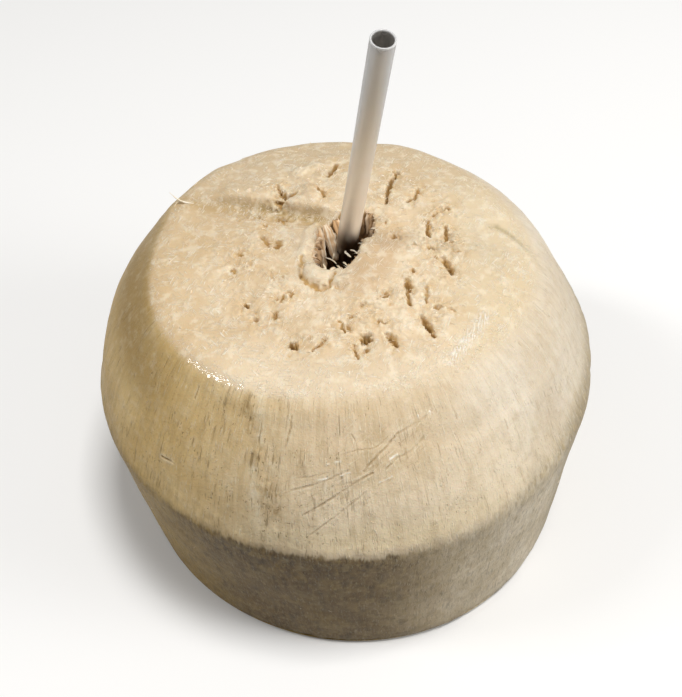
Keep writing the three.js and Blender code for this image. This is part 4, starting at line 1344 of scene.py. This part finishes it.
# %% Surface of the husk
fine = add(tree, "ShaderNodeTexNoise", Vector=place, Scale=1 / 0.0004, Detail=3, Roughness=0.55)
bumps = add(tree, "ShaderNodeMath", MULTIPLY, in0=fine, in1=0.35)
bumps = add(tree, "ShaderNodeMath", ADD, in0=bumps,
            in1=add(tree, "ShaderNodeMath", MULTIPLY, in0=top_hairs, in1=0.5))
bumps = add(tree, "ShaderNodeMath", ADD, in0=bumps,
            in1=add(tree, "ShaderNodeMath", MULTIPLY, in0=side_light, in1=0.3))
bumps = add(tree, "ShaderNodeMath", SUBTRACT, in0=bumps,
            in1=add(tree, "ShaderNodeMath", MULTIPLY, in0=side_dark, in1=0.5))
bumps = add(tree, "ShaderNodeMath", ADD, in0=bumps,
            in1=add(tree, "ShaderNodeMath", MULTIPLY, in0=mottles, in1=0.8))
bumps = add(tree, "ShaderNodeMath", ADD, in0=bumps,
            in1=add(tree, "ShaderNodeMath", MULTIPLY, in0=torn_fibres_and_glint, in1=0.8))
wet_kept = kept["wet"]
bump = add(tree, "ShaderNodeBump", Strength=0.7, Distance=0.00035, Height=bumps)
wet = add(tree, "ShaderNodeMath", MAXIMUM, in0=wet_kept, in1=sliver_and_glint_kept)
droplets = add(tree, "ShaderNodeMath", MULTIPLY,
               in0=add(tree, "ShaderNodeTexNoise", Vector=place, Scale=1 / 0.0011, Detail=1,
                       Roughness=0.55), in1=wet_kept)
wet_bump = add(tree, "ShaderNodeBump", Strength=1.0, Distance=0.00036, Height=droplets)
shader = add(tree, "ShaderNodeBsdfPrincipled", Base_Color=colour, IOR=1.38, Normal=bump.outputs[0],
             Roughness=add(tree, "ShaderNodeMapRange", SMOOTH, in0=fine, in1=0.3, in2=0.7, in3=0.42,
                           in4=0.62), Coat_Weight=wet, Coat_Roughness=0.07, Coat_IOR=1.9,
             Coat_Normal=wet_bump.outputs[0], Specular_IOR_Level=0.3, Subsurface_Weight=0.12,
             Subsurface_Scale=0.002)
shader.inputs["Subsurface Radius"].default_value = (1.0, 0.6, 0.3)
add(tree, "ShaderNodeOutputMaterial", Surface=shader.outputs[0])
husk.data.materials.append(husk_finish)
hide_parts("coconut")
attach(husk, "root")
print("husk material nodes:", len(tree.nodes))

# %% [markdown]
# ## Torn fibres
#
# Where the husk is torn, short fibres and thin flakes stand out of it, white because they have
# dried. There are hundreds, so they are strewn by Geometry Nodes: points are distributed over
# the husk's own mesh, thickly where a value kept on it is high, and each point gets a small
# tapered curve swept into a hair. Particle hair would be lost in an export, and hairs drawn in
# the material would have no thickness at the rim, where they show against the background.

# %% Where the fibres are thick
wet_edge = np.maximum(wet_edge, 0.3 * torn_edge)
mouth_edge = np.exp(-((beyond - 0.4) / 0.8) ** 2) * (noise_values(flat_points, 2, 25) > -0.1)
fuzz = torn_zone * quiet * (0.12 + 0.5 * near_pits) * np.clip(1 + 2 * noise_values(folded, 3, 26), 0, 2)
fuzz *= 1 - 0.85 * trough
fuzz += 0.04 * on_face * quiet + 0.003 + 2.2 * mouth_edge
fuzz *= smoothstep(outside_points[:, 2], 3, 5) * np.clip(1 - 2.5 * pit, 0, 1)
give(husk, "fuzz", for_husk(fuzz, no_wall, 0))
give(husk, "wet", for_husk(wet_edge, no_wall, 0))
print("mean fuzz of the outside:", round(float(fuzz.mean()), 3))

# %% Geometry Nodes that strew hairs and flakes
def fibre_tree():
    """Nodes that strew curved, tapered fibres over a mesh, most where its value `fuzz` is high."""
    tree = bpy.data.node_groups.new("strewn_fibres", "GeometryNodeTree")
    face = tree.interface
    face.new_socket("Mesh", in_out="INPUT", socket_type="NodeSocketGeometry")
    for name in ("Density", "Length", "Half Width", "Flatness", "Least Tilt", "Most Tilt"):
        face.new_socket(name, in_out="INPUT", socket_type="NodeSocketFloat")
    face.new_socket("Seed", in_out="INPUT", socket_type="NodeSocketInt")
    face.new_socket("Finish", in_out="INPUT", socket_type="NodeSocketMaterial")
    face.new_socket("Mesh", in_out="OUTPUT", socket_type="NodeSocketGeometry")
    given = add(tree, "NodeGroupInput").outputs

    fuzz = add(tree, "GeometryNodeInputNamedAttribute", {"data_type": "FLOAT"}, Name="fuzz")
    density = add(tree, "ShaderNodeMath", MULTIPLY, in0=given["Density"], in1=fuzz.outputs[0])
    points = add(tree, "GeometryNodeDistributePointsOnFaces", Mesh=given["Mesh"], Density=density,
                 Seed=given["Seed"])
    middle_line = add(tree, "GeometryNodeCurveQuadraticBezier", Resolution=5, Start=(0, 0, 0),
                      Middle=(0, 0, 0.55), End=(0.35, 0, 0.95))
    along = add(tree, "GeometryNodeSplineParameter").outputs["Factor"]
    taper = add(tree, "ShaderNodeMath", SUBTRACT, in0=1.0,
                in1=add(tree, "ShaderNodeMath", POWER, in0=along, in1=2.0))
    taper = add(tree, "ShaderNodeMath", MAXIMUM, in0=taper, in1=0.12)
    slimness = add(tree, "ShaderNodeMath", DIVIDE, in0=given["Half Width"], in1=given["Length"])
    circle = add(tree, "GeometryNodeCurvePrimitiveCircle", {"mode": "RADIUS"}, Resolution=4, Radius=1.0)
    flat_scale = add(tree, "ShaderNodeCombineXYZ", X=given["Flatness"], Y=1.0, Z=1.0).outputs[0]
    section = add(tree, "GeometryNodeTransform", Geometry=circle.outputs[0], Scale=flat_scale)
    hair = add(tree, "GeometryNodeCurveToMesh", Curve=middle_line.outputs[0],
               Profile_Curve=section.outputs[0],
               Scale=add(tree, "ShaderNodeMath", MULTIPLY, in0=taper, in1=slimness), Fill_Caps=True)

    tilt = add(tree, "FunctionNodeRandomValue", {"data_type": "FLOAT"}, in2=given["Least Tilt"],
               in3=given["Most Tilt"], Seed=3).outputs[1]
    spin = add(tree, "FunctionNodeRandomValue", {"data_type": "FLOAT"}, in2=0.0, in3=2 * math.pi,
               Seed=5).outputs[1]
    lean = add(tree, "ShaderNodeCombineXYZ", X=0.0, Y=tilt, Z=spin).outputs[0]
    lean = add(tree, "FunctionNodeEulerToRotation", Euler=lean).outputs[0]
    turned = add(tree, "FunctionNodeRotateRotation", {"rotation_space": "LOCAL"},
                 Rotation=points.outputs["Rotation"], Rotate_By=lean).outputs[0]
    size = add(tree, "FunctionNodeRandomValue", {"data_type": "FLOAT"}, in2=0.4, in3=1.0,
               Seed=7).outputs[1]
    size = add(tree, "ShaderNodeMath", MULTIPLY, in0=given["Length"], in1=size)
    instances = add(tree, "GeometryNodeInstanceOnPoints", Points=points.outputs["Points"],
                    Instance=hair.outputs[0], Rotation=turned, Scale=size)
    real = add(tree, "GeometryNodeRealizeInstances", Geometry=instances.outputs[0])
    finished = add(tree, "GeometryNodeSetMaterial", Geometry=real.outputs[0], Material=given["Finish"])
    add(tree, "NodeGroupOutput", in0=finished.outputs[0])
    return tree


# %% Material of the torn fibres
# Dried cellulose fibre: white to cream, matt, and a little see-through where it is thin.
fibre_finish = bpy.data.materials.new("dried_husk_fibre")
fibre_finish.use_nodes = True
tree = fibre_finish.node_tree
tree.nodes.clear()
place = add(tree, "ShaderNodeTexCoord").outputs["Object"]
tone = add(tree, "ShaderNodeTexNoise", Vector=place, Scale=1 / 0.004, Detail=2, Roughness=0.55)
fibre_colour = add(tree, "ShaderNodeMix", MIX,
                   in0=add(tree, "ShaderNodeMapRange", SMOOTH, in0=tone, in1=0.35, in2=0.65),
                   in6=linear("#efddbb"), in7=linear("#fbf0dc"))
streaks = add(tree, "ShaderNodeTexNoise", Vector=place, Scale=1 / 0.0003, Detail=1, Roughness=0.55)
fibre_bump = add(tree, "ShaderNodeBump", Strength=0.4, Distance=0.00005, Height=streaks)
shader = add(tree, "ShaderNodeBsdfPrincipled", Base_Color=fibre_colour, IOR=1.45,
             Roughness=add(tree, "ShaderNodeMapRange", SMOOTH, in0=streaks, in1=0.3, in2=0.7, in3=0.4,
                           in4=0.6), Normal=fibre_bump.outputs[0])
add(tree, "ShaderNodeOutputMaterial", Surface=shader.outputs[0])


def strew_fibres(name, tree, **sizes):
    """A piece made of fibres strewn over the husk's mesh. The sizes go to the tree's named inputs."""
    piece = bpy.data.objects.new(name, husk.data.copy())
    bpy.context.scene.collection.objects.link(piece)
    modifier = piece.modifiers.new("fibres", "NODES")
    modifier.node_group = tree
    inputs = {item.name: item.identifier for item in tree.interface.items_tree
              if item.in_out == "INPUT"}
    for label, value in sizes.items():
        modifier[inputs[label.replace("_", " ")]] = value
    modifier[inputs["Finish"]] = fibre_finish
    scene_state = bpy.context.evaluated_depsgraph_get()
    made = bpy.data.meshes.new_from_object(piece.evaluated_get(scene_state))
    piece.modifiers.clear()
    piece.data = made
    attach(piece, "root")
    print(name, "faces:", len(made.polygons))
    return piece


# %% Hairs and flakes on the husk
strewing = fibre_tree()
strew_fibres("torn_hairs", strewing, Density=6.0e5, Length=2.2 * MM, Half_Width=0.06 * MM, Flatness=1.0,
             Least_Tilt=math.radians(60), Most_Tilt=math.radians(86), Seed=2)
strew_fibres("torn_flakes", strewing, Density=2.0e5, Length=1.1 * MM, Half_Width=0.26 * MM, Flatness=0.3,
             Least_Tilt=math.radians(62), Most_Tilt=math.radians(84), Seed=9)

# %% [markdown]
# ## Strands in the hole
#
# Inside the hole the torn husk hangs in strands: broad, pale ones at the left under the lip, and
# browner ones deeper down. A few stiff white hairs stand across the front edge. There are too
# few to strew, and each has its own place, so each is a line through a few places with a width.
# A flattened section is swept along it, tapered to its tip and roughened by noise.

# %% Sweeping a strand
def sweep(places, width, flatness, seed, rows=16, columns=10):
    """Points, faces and coordinates along the strand, for a smooth line through three places."""
    start, middle, end = [np.array(p, float) for p in places]
    pull = 2 * middle - (start + end) / 2
    shares = np.linspace(0, 1, rows)
    line_points = np.array([(1 - t) ** 2 * start + 2 * t * (1 - t) * pull + t * t * end for t in shares])
    tangents = np.gradient(line_points, axis=0)
    tangents /= np.linalg.norm(tangents, axis=1, keepdims=True)
    across = np.cross(tangents, [0.3, -0.8, 0.5])
    across /= np.linalg.norm(across, axis=1, keepdims=True)
    thick = np.cross(tangents, across)
    section_turns = np.arange(columns) * 2 * math.pi / columns
    length = np.linalg.norm(end - start)
    points = []
    laid_along = []
    for row, share in enumerate(shares):
        size = width / 2 * max(math.sin(math.pi * (0.12 + 0.8 * share)) ** 0.7, 0.12)
        for section_turn in section_turns:
            offset = (across[row] * math.cos(section_turn)
                      + thick[row] * math.sin(section_turn) * flatness) * size
            point = Vector(line_points[row] + offset)
            rough = noise.noise(point * 0.9 + Vector((seed, 0, 0))) * 0.55
            rough += noise.noise(point * 2.0 + Vector((0, seed, 0))) * 0.25
            points.append(np.array(point) + offset * rough)
            laid_along.append((math.cos(section_turn) * width / 2, math.sin(section_turn) * width / 2,
                               share * length + 11 * seed))
    faces = []
    for row in range(rows - 1):
        for column in range(columns):
            following = (column + 1) % columns
            faces.append((row * columns + column, row * columns + following,
                          (row + 1) * columns + following, (row + 1) * columns + column))
    faces.append(tuple(range(columns))[::-1])
    faces.append(tuple((rows - 1) * columns + c for c in range(columns)))
    return points, faces, laid_along


def strands(name, strand_list, finish, **shape):
    """One piece made of several strands, which keeps how brown each of them is."""
    points, faces, tones, along_strands = [], [], [], []
    for number, (width, flatness, tone, places) in enumerate(strand_list):
        new_points, new_faces, laid_along = sweep(places, width, flatness, 7.3 * number, **shape)
        faces += [tuple(len(points) + i for i in face) for face in new_faces]
        points += new_points
        tones += [tone] * len(new_points)
        along_strands += laid_along
    piece = make_piece(name, points, faces, finish)
    give(piece, "tone", tones)
    give(piece, "strand", np.array(along_strands) * MM, "FLOAT_VECTOR")
    mesh = bmesh.new()
    mesh.from_mesh(piece.data)
    bmesh.ops.recalc_face_normals(mesh, faces=mesh.faces)
    mesh.to_mesh(piece.data)
    mesh.free()
    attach(piece, "root")
    print(name, "faces:", len(piece.data.polygons))
    return piece


# %% Material of the strands
# Wet husk fibre browned by air: pale on the torn crests, tan and brown in between, along the strand.
strand_finish = bpy.data.materials.new("browned_husk_fibre")
strand_finish.use_nodes = True
tree = strand_finish.node_tree
tree.nodes.clear()
place = add(tree, "ShaderNodeTexCoord").outputs["Object"]
height = add(tree, "ShaderNodeSeparateXYZ", Vector=place).outputs["Z"]
along_strand = add(tree, "ShaderNodeAttribute", {"attribute_name": "strand"}).outputs["Vector"]
lines = dashes(tree, along_strand, 0.0007, 0.007, 0.35, 0.62, 1.0)
pale = add(tree, "ShaderNodeMix", MIX, in0=lines, in6=linear("#d9b080"), in7=linear("#f6e4c8"))
brown = add(tree, "ShaderNodeMix", MIX, in0=lines, in6=linear("#643c14"), in7=linear("#bd8846"))
strand_colour = add(tree, "ShaderNodeMix", MIX,
                    in0=add(tree, "ShaderNodeAttribute", {"attribute_name": "tone"}).outputs["Fac"],
                    in6=pale, in7=brown)
# Painted shade: the strands are painted darker below 83 mm, deeper in the hole.
painted_depth_shade = add(tree, "ShaderNodeMapRange", SMOOTH, in0=height, in1=0.083, in2=0.074, in3=0, in4=0.8)
strand_colour = add(tree, "ShaderNodeMix", MIX, in0=painted_depth_shade, in6=strand_colour, in7=linear("#573a1c"))
strand_bump = add(tree, "ShaderNodeBump", Strength=0.6, Distance=0.0002, Height=lines)
shader = add(tree, "ShaderNodeBsdfPrincipled", Base_Color=strand_colour, IOR=1.4,
             Roughness=add(tree, "ShaderNodeMapRange", SMOOTH, in0=lines, in1=0, in2=1, in3=0.35,
                           in4=0.55), Normal=strand_bump.outputs[0])
add(tree, "ShaderNodeOutputMaterial", Surface=shader.outputs[0])
print("strand material nodes:", len(tree.nodes))

# %% Strands and stiff hairs
# Width, flatness, how brown (0 to 1) and three places in millimetres.
STRANDS = [
    (3.0, 0.5, 0.05, [(-2.5, 7.5, 85), (-1.5, 4.5, 82.5), (-0.5, 1, 79)]),
    (1.6, 0.6, 0.8, [(-0.5, 9.5, 84.5), (0.5, 7, 82.5), (1, 4.5, 80)]),
    (2.8, 0.5, 0.3, [(-5.5, 4.5, 84.5), (-4.5, 2, 82), (-3.5, -1.5, 78.5)]),
    (1.2, 0.6, 0.0, [(-4, 6, 85.5), (-3.5, 3.5, 84), (-3, 0.5, 80.5)]),
    (2.0, 0.6, 0.7, [(-6, 1.5, 84), (-5, 0, 81.5), (-4.5, -3, 78.5)]),
    (2.6, 0.6, 1.0, [(-6.5, -2, 84), (-5.5, -3.5, 82), (-4.5, -5, 80)]),
    (2.2, 0.7, 0.5, [(-0.5, 6, 81), (0.5, 4, 77), (1, 2, 71)]),
    (2.2, 0.7, 0.9, [(-3, 5, 79), (-2, 3, 75), (-1, 1, 69)]),
    (1.6, 0.5, 0.7, [(0, 10.5, 84), (0.5, 11, 80), (1, 11.5, 75)]),
    (2.0, 0.6, 0.6, [(6.5, 12, 84.5), (6.5, 11, 81), (6.5, 10.5, 75)]),
    (1.2, 0.6, 0.2, [(8, 12, 85), (8, 10.5, 82.5), (7.5, 9.5, 79)]),
    (2.0, 0.6, 0.7, [(9.5, 11, 84.5), (9, 10, 81.5), (8.5, 9, 77)]),
    (1.5, 0.6, 0.4, [(10, 8, 84.5), (9, 7.5, 81.5), (8.5, 7, 77)]),
    (1.5, 0.6, 0.5, [(-5, -4, 82), (-3, -1.5, 77), (-2, 1, 72)]),
]
STIFF_HAIRS = [
    (0.4, 0.7, 0, [(-35.5, 21.5, 83.5), (-38.5, 22, 84), (-41.5, 24, 85.5)]),
    (0.4, 0.7, 0, [(-37.5, 21.5, 83.5), (-39.5, 22.5, 83.5), (-41, 21.5, 82)]),
    (0.32, 0.7, 0, [(-3, -2.5, 83.5), (-1.5, -4, 84), (-0.5, -6, 84.5)]),
    (0.7, 0.5, 0, [(2, -1, 83.5), (2, -2, 84), (3, -4, 84.5)]),
    (0.45, 0.6, 0, [(3, -0.5, 83.5), (4, -1.5, 84), (4.5, -3, 84.5)]),
    (0.5, 0.6, 0, [(-1, 0, 82.5), (-1, -0.5, 82), (-1.5, -1, 81)]),
    (0.7, 0.6, 0, [(-3.5, -5.5, 84), (-3.5, -6, 84.5), (-3, -7.5, 84.5)]),
    (0.4, 0.6, 0, [(1, -4.5, 83.5), (1.5, -5.5, 84), (2, -7, 84.5)]),
    (0.4, 0.6, 0, [(5, 1.5, 83.5), (5.5, 1, 84), (6.5, 0, 84.5)]),
    (0.4, 0.6, 0, [(-0.5, -5.5, 83.5), (0, -6.5, 84), (0.5, -8, 84.5)]),
]
strands("hole_strands", STRANDS, strand_finish)
strands("stiff_hairs", STIFF_HAIRS, fibre_finish, rows=10, columns=8)

# %% [markdown]
# ## Frayed edge of the mouth
#
# The tool left small torn flaps all round the mouth, larger on the left. They hang
# inwards and down. They could be cut from the husk's mesh, but each is thinner than
# its triangles, so short strands are rooted round the outline at random places.

# %% Flaps round the mouth
FLAPS = 40
chance = random.Random(6)
flaps = []
for number in range(FLAPS):
    edge_place = mouth_points[chance.randrange(MOUTH_POINTS)]
    inward = np.array([*MOUTH_MIDDLE, 0]) - np.array([edge_place[0], edge_place[1], 0])
    inward /= np.linalg.norm(inward)
    sideways_step = np.array([-inward[1], inward[0], 0]) * chance.gauss(0, 0.6)
    on_left = inward[0] > 0.2
    size = chance.uniform(0.9, 2.0) if on_left else chance.uniform(0.3, 0.9)
    heading = inward + sideways_step
    heading[2] = chance.uniform(-2.2, 0.2)
    start = edge_place - inward * 0.7 - (0, 0, 0.3)
    middle = edge_place + heading * 0.3 * size + (0, 0, chance.uniform(0, 0.3))
    flaps.append((chance.uniform(0.4, 0.8) * size, 0.35, chance.uniform(0, 0.9) ** 2,
                  [start, middle, edge_place + heading * 0.9 * size]))
strands("mouth_flaps", flaps, strand_finish, rows=8, columns=8)

# %% [markdown]
# ## Straw
#
# A drinking straw is extruded polypropylene: a milky, half clear tube 5 mm across with a wall of
# 0.4 mm, cut square and slightly rounded at its ends. The extruder's die leaves faint lines along
# it. Its foot is painted dark as painted shade from the hole, it is painted greyer towards its top
# as painted shade, and its lip is painted near white as a painted highlight.

# %% Straw as a tube with rounded ends
STRAW_RADIUS = 2.5
STRAW_WALL = 0.4
STRAW_ENTRY = np.array([2.7, 3.0, 84.3])
STRAW_ABOVE = 64.9
STRAW_BELOW = 36.4
STRAW_LEAN = math.radians(17)
STRAW_HEADING = math.radians(-63.8)
STRAW_COLUMNS = 72

straw_up = np.array([math.sin(STRAW_LEAN) * math.cos(STRAW_HEADING),
                     math.sin(STRAW_LEAN) * math.sin(STRAW_HEADING), math.cos(STRAW_LEAN)])
straw_right = np.cross(straw_up, [0, 0, 1])
straw_right /= np.linalg.norm(straw_right)
straw_back = np.cross(straw_up, straw_right)


def tube_rings():
    """Radius and height of each ring, up the outside, over the lip, down the inside and back."""
    inner = STRAW_RADIUS - STRAW_WALL
    middle = STRAW_RADIUS - STRAW_WALL / 2
    half = STRAW_WALL / 2
    over = [(middle + half * math.cos(a), STRAW_ABOVE - half + half * math.sin(a))
            for a in np.linspace(0, math.pi, 9)]
    under = [(middle - half * math.cos(a), -STRAW_BELOW + half - half * math.sin(a))
             for a in np.linspace(0, math.pi, 9)]
    heights = np.linspace(-STRAW_BELOW + half, STRAW_ABOVE - half, 60)[1:-1]
    return [(STRAW_RADIUS, h) for h in heights] + over + [(inner, h) for h in heights[::-1]] + under


turns = np.arange(STRAW_COLUMNS) * 2 * math.pi / STRAW_COLUMNS
straw_points = []
for radius, h in tube_rings():
    # The hole squeezes the straw a little out of round, most at its foot.
    foot = float(smoothstep(np.array(-h), -30, -5))
    squeeze = 1 + (0.012 + 0.06 * foot) * np.cos(2 * turns)
    ring = radius * squeeze
    straw_points.append(STRAW_ENTRY + h * straw_up + np.outer(ring * np.cos(turns), straw_right)
                        + np.outer(ring * np.sin(turns), straw_back))
ring_count = len(straw_points)
straw_faces = []
for ring in range(ring_count):
    lower = ring * STRAW_COLUMNS + np.arange(STRAW_COLUMNS)
    upper = (ring + 1) % ring_count * STRAW_COLUMNS + np.arange(STRAW_COLUMNS)
    straw_faces += np.column_stack([lower, upper, np.roll(upper, -1), np.roll(lower, -1)]).tolist()
straw = make_piece("milky_straw", np.vstack(straw_points), straw_faces)
bm = bmesh.new()
bm.from_mesh(straw.data)
print("straw volume, mm3:", round(bm.calc_volume() * 1e9, 1), "faces:", len(bm.faces))
bm.free()

# %% Straw finish
straw_finish = bpy.data.materials.new("extruded_polypropylene")
straw_finish.use_nodes = True
tree = straw_finish.node_tree
tree.nodes.clear()
round_place = np.tile(turns, ring_count)
along_place = np.repeat([h for _, h in tube_rings()], STRAW_COLUMNS)
give(straw, "die", np.column_stack([np.cos(round_place) * STRAW_RADIUS, np.sin(round_place) * STRAW_RADIUS,
                                    along_place]) * MM, "FLOAT_VECTOR")
die = add(tree, "ShaderNodeAttribute", {"attribute_name": "die"}).outputs["Vector"]
lines = dashes(tree, die, 0.0004, 0.05, 0.3, 0.7, 2.0)
haze = add(tree, "ShaderNodeTexNoise", Vector=die, Scale=1 / 0.003, Detail=2, Roughness=0.55)
height_up = add(tree, "ShaderNodeSeparateXYZ", Vector=die).outputs["Z"]
straw_tint_and_painted_light = add(tree, "ShaderNodeMix", MIX, in0=haze, in6=linear("#fbeee2"), in7=linear("#fff8f1"))
# Painted shade: the straw is painted greyer towards its top.
straw_tint_and_painted_light = add(tree, "ShaderNodeMix", MIX,
            in0=add(tree, "ShaderNodeMapRange", SMOOTH, in0=height_up, in1=0.022, in2=0.058), in6=straw_tint_and_painted_light,
            in7=linear("#9a9690"))
# Painted shade: the foot of the straw is painted dark, as the shade of the hole.
straw_tint_and_painted_light = add(tree, "ShaderNodeMix", MIX,
            in0=add(tree, "ShaderNodeMapRange", SMOOTH, in0=height_up, in1=0.0085, in2=0.001),
            in6=straw_tint_and_painted_light, in7=linear("#30241f"))
# Painted highlight: the lip at the top of the straw is painted near white.
straw_tint_and_painted_light = add(tree, "ShaderNodeMix", MIX,
            in0=add(tree, "ShaderNodeMapRange", SMOOTH, in0=height_up, in1=0.0644, in2=0.0647),
            in6=straw_tint_and_painted_light, in7=linear("#fdfcfa"))
straw_bump = add(tree, "ShaderNodeBump", Strength=0.12, Distance=0.00003, Height=lines)
shader = add(tree, "ShaderNodeBsdfPrincipled", Base_Color=straw_tint_and_painted_light, IOR=1.49, Normal=straw_bump.outputs[0],
             Roughness=add(tree, "ShaderNodeMapRange", SMOOTH, in0=lines, in1=0, in2=1, in3=0.42,
                           in4=0.48), Transmission_Weight=0.5)
add(tree, "ShaderNodeOutputMaterial", Surface=shader.outputs[0])
straw.data.materials.append(straw_finish)
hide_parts("drinking_straw")
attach(straw, "root")
print("straw material nodes:", len(tree.nodes))

# %% [markdown]
# ## Floor and light
#
# The floor is pale to the eye, and mid grey to the light that bounces off it, so that it doesn't
# light the underside of the shoulder more than a table would. A large soft lamp hangs above and
# to the right. A small one at the left only makes the wet edge glint. The world fills the rest.

# %% Floor
floor_mesh = bpy.data.meshes.new("floor")
FLOOR_HALF = 3.0
floor_mesh.from_pydata([(-FLOOR_HALF, -FLOOR_HALF, 0), (FLOOR_HALF, -FLOOR_HALF, 0),
                        (FLOOR_HALF, FLOOR_HALF, 0), (-FLOOR_HALF, FLOOR_HALF, 0)], [], [(0, 1, 2, 3)])
floor = bpy.data.objects.new("floor", floor_mesh)
bpy.context.scene.collection.objects.link(floor)
floor_paint = bpy.data.materials.new("matt_floor_paint")
floor_paint.use_nodes = True
tree = floor_paint.node_tree
tree.nodes.clear()
ray = add(tree, "ShaderNodeLightPath")
seen = add(tree, "ShaderNodeMath", MAXIMUM, in0=ray.outputs["Is Camera Ray"],
           in1=ray.outputs["Is Glossy Ray"])
seen = add(tree, "ShaderNodeMath", MAXIMUM, in0=seen, in1=ray.outputs["Is Transmission Ray"])
floor_colour = add(tree, "ShaderNodeMix", MIX, in0=seen, in6=linear("#6e6c69"), in7=linear("#f6f5f3"))
floor_shader = add(tree, "ShaderNodeBsdfDiffuse", Color=floor_colour)
add(tree, "ShaderNodeOutputMaterial", Surface=floor_shader.outputs[0])
floor_mesh.materials.append(floor_paint)
print("floor half width, m:", FLOOR_HALF)

# %% Lamps and world
def lamp(name, direction, distance, size, watts, length=None, along=(1, 0, 0)):
    """A lamp that hangs in a direction from the husk and shines at it: square, or long one way."""
    data = bpy.data.lights.new(name, "AREA")
    data.shape = "RECTANGLE"
    data.size = length or size
    data.size_y = size
    data.energy = watts
    made = bpy.data.objects.new(name, data)
    bpy.context.scene.collection.objects.link(made)
    aim = Vector((0, 0, 0.06))
    made.location = aim + Vector(direction).normalized() * distance
    back = (made.location - aim).normalized()
    side = (Vector(along) - Vector(along).dot(back) * back).normalized()
    made.rotation_mode = "QUATERNION"
    made.rotation_quaternion = Matrix((side, back.cross(side), back)).transposed().to_quaternion()
    return made


lamp("key_lamp", (0.2, -0.12, 0.97), 1.2, 0.3, 9.7)
lamp("side_lamp", (0.92, -0.28, 0.32), 1.2, 0.5, 6)
lamp("edge_lamp", (-0.68, -0.04, 0.72), 1.5, 0.2, 5.0, length=0.6, along=(-0.57, 0.65, -0.5))
world = bpy.data.worlds.new("room")
world.use_nodes = True
world.node_tree.nodes["Background"].inputs["Color"].default_value = (1, 1, 1, 1)
world.node_tree.nodes["Background"].inputs["Strength"].default_value = 0.23
bpy.context.scene.world = world
bpy.context.scene.view_settings.view_transform = "Standard"
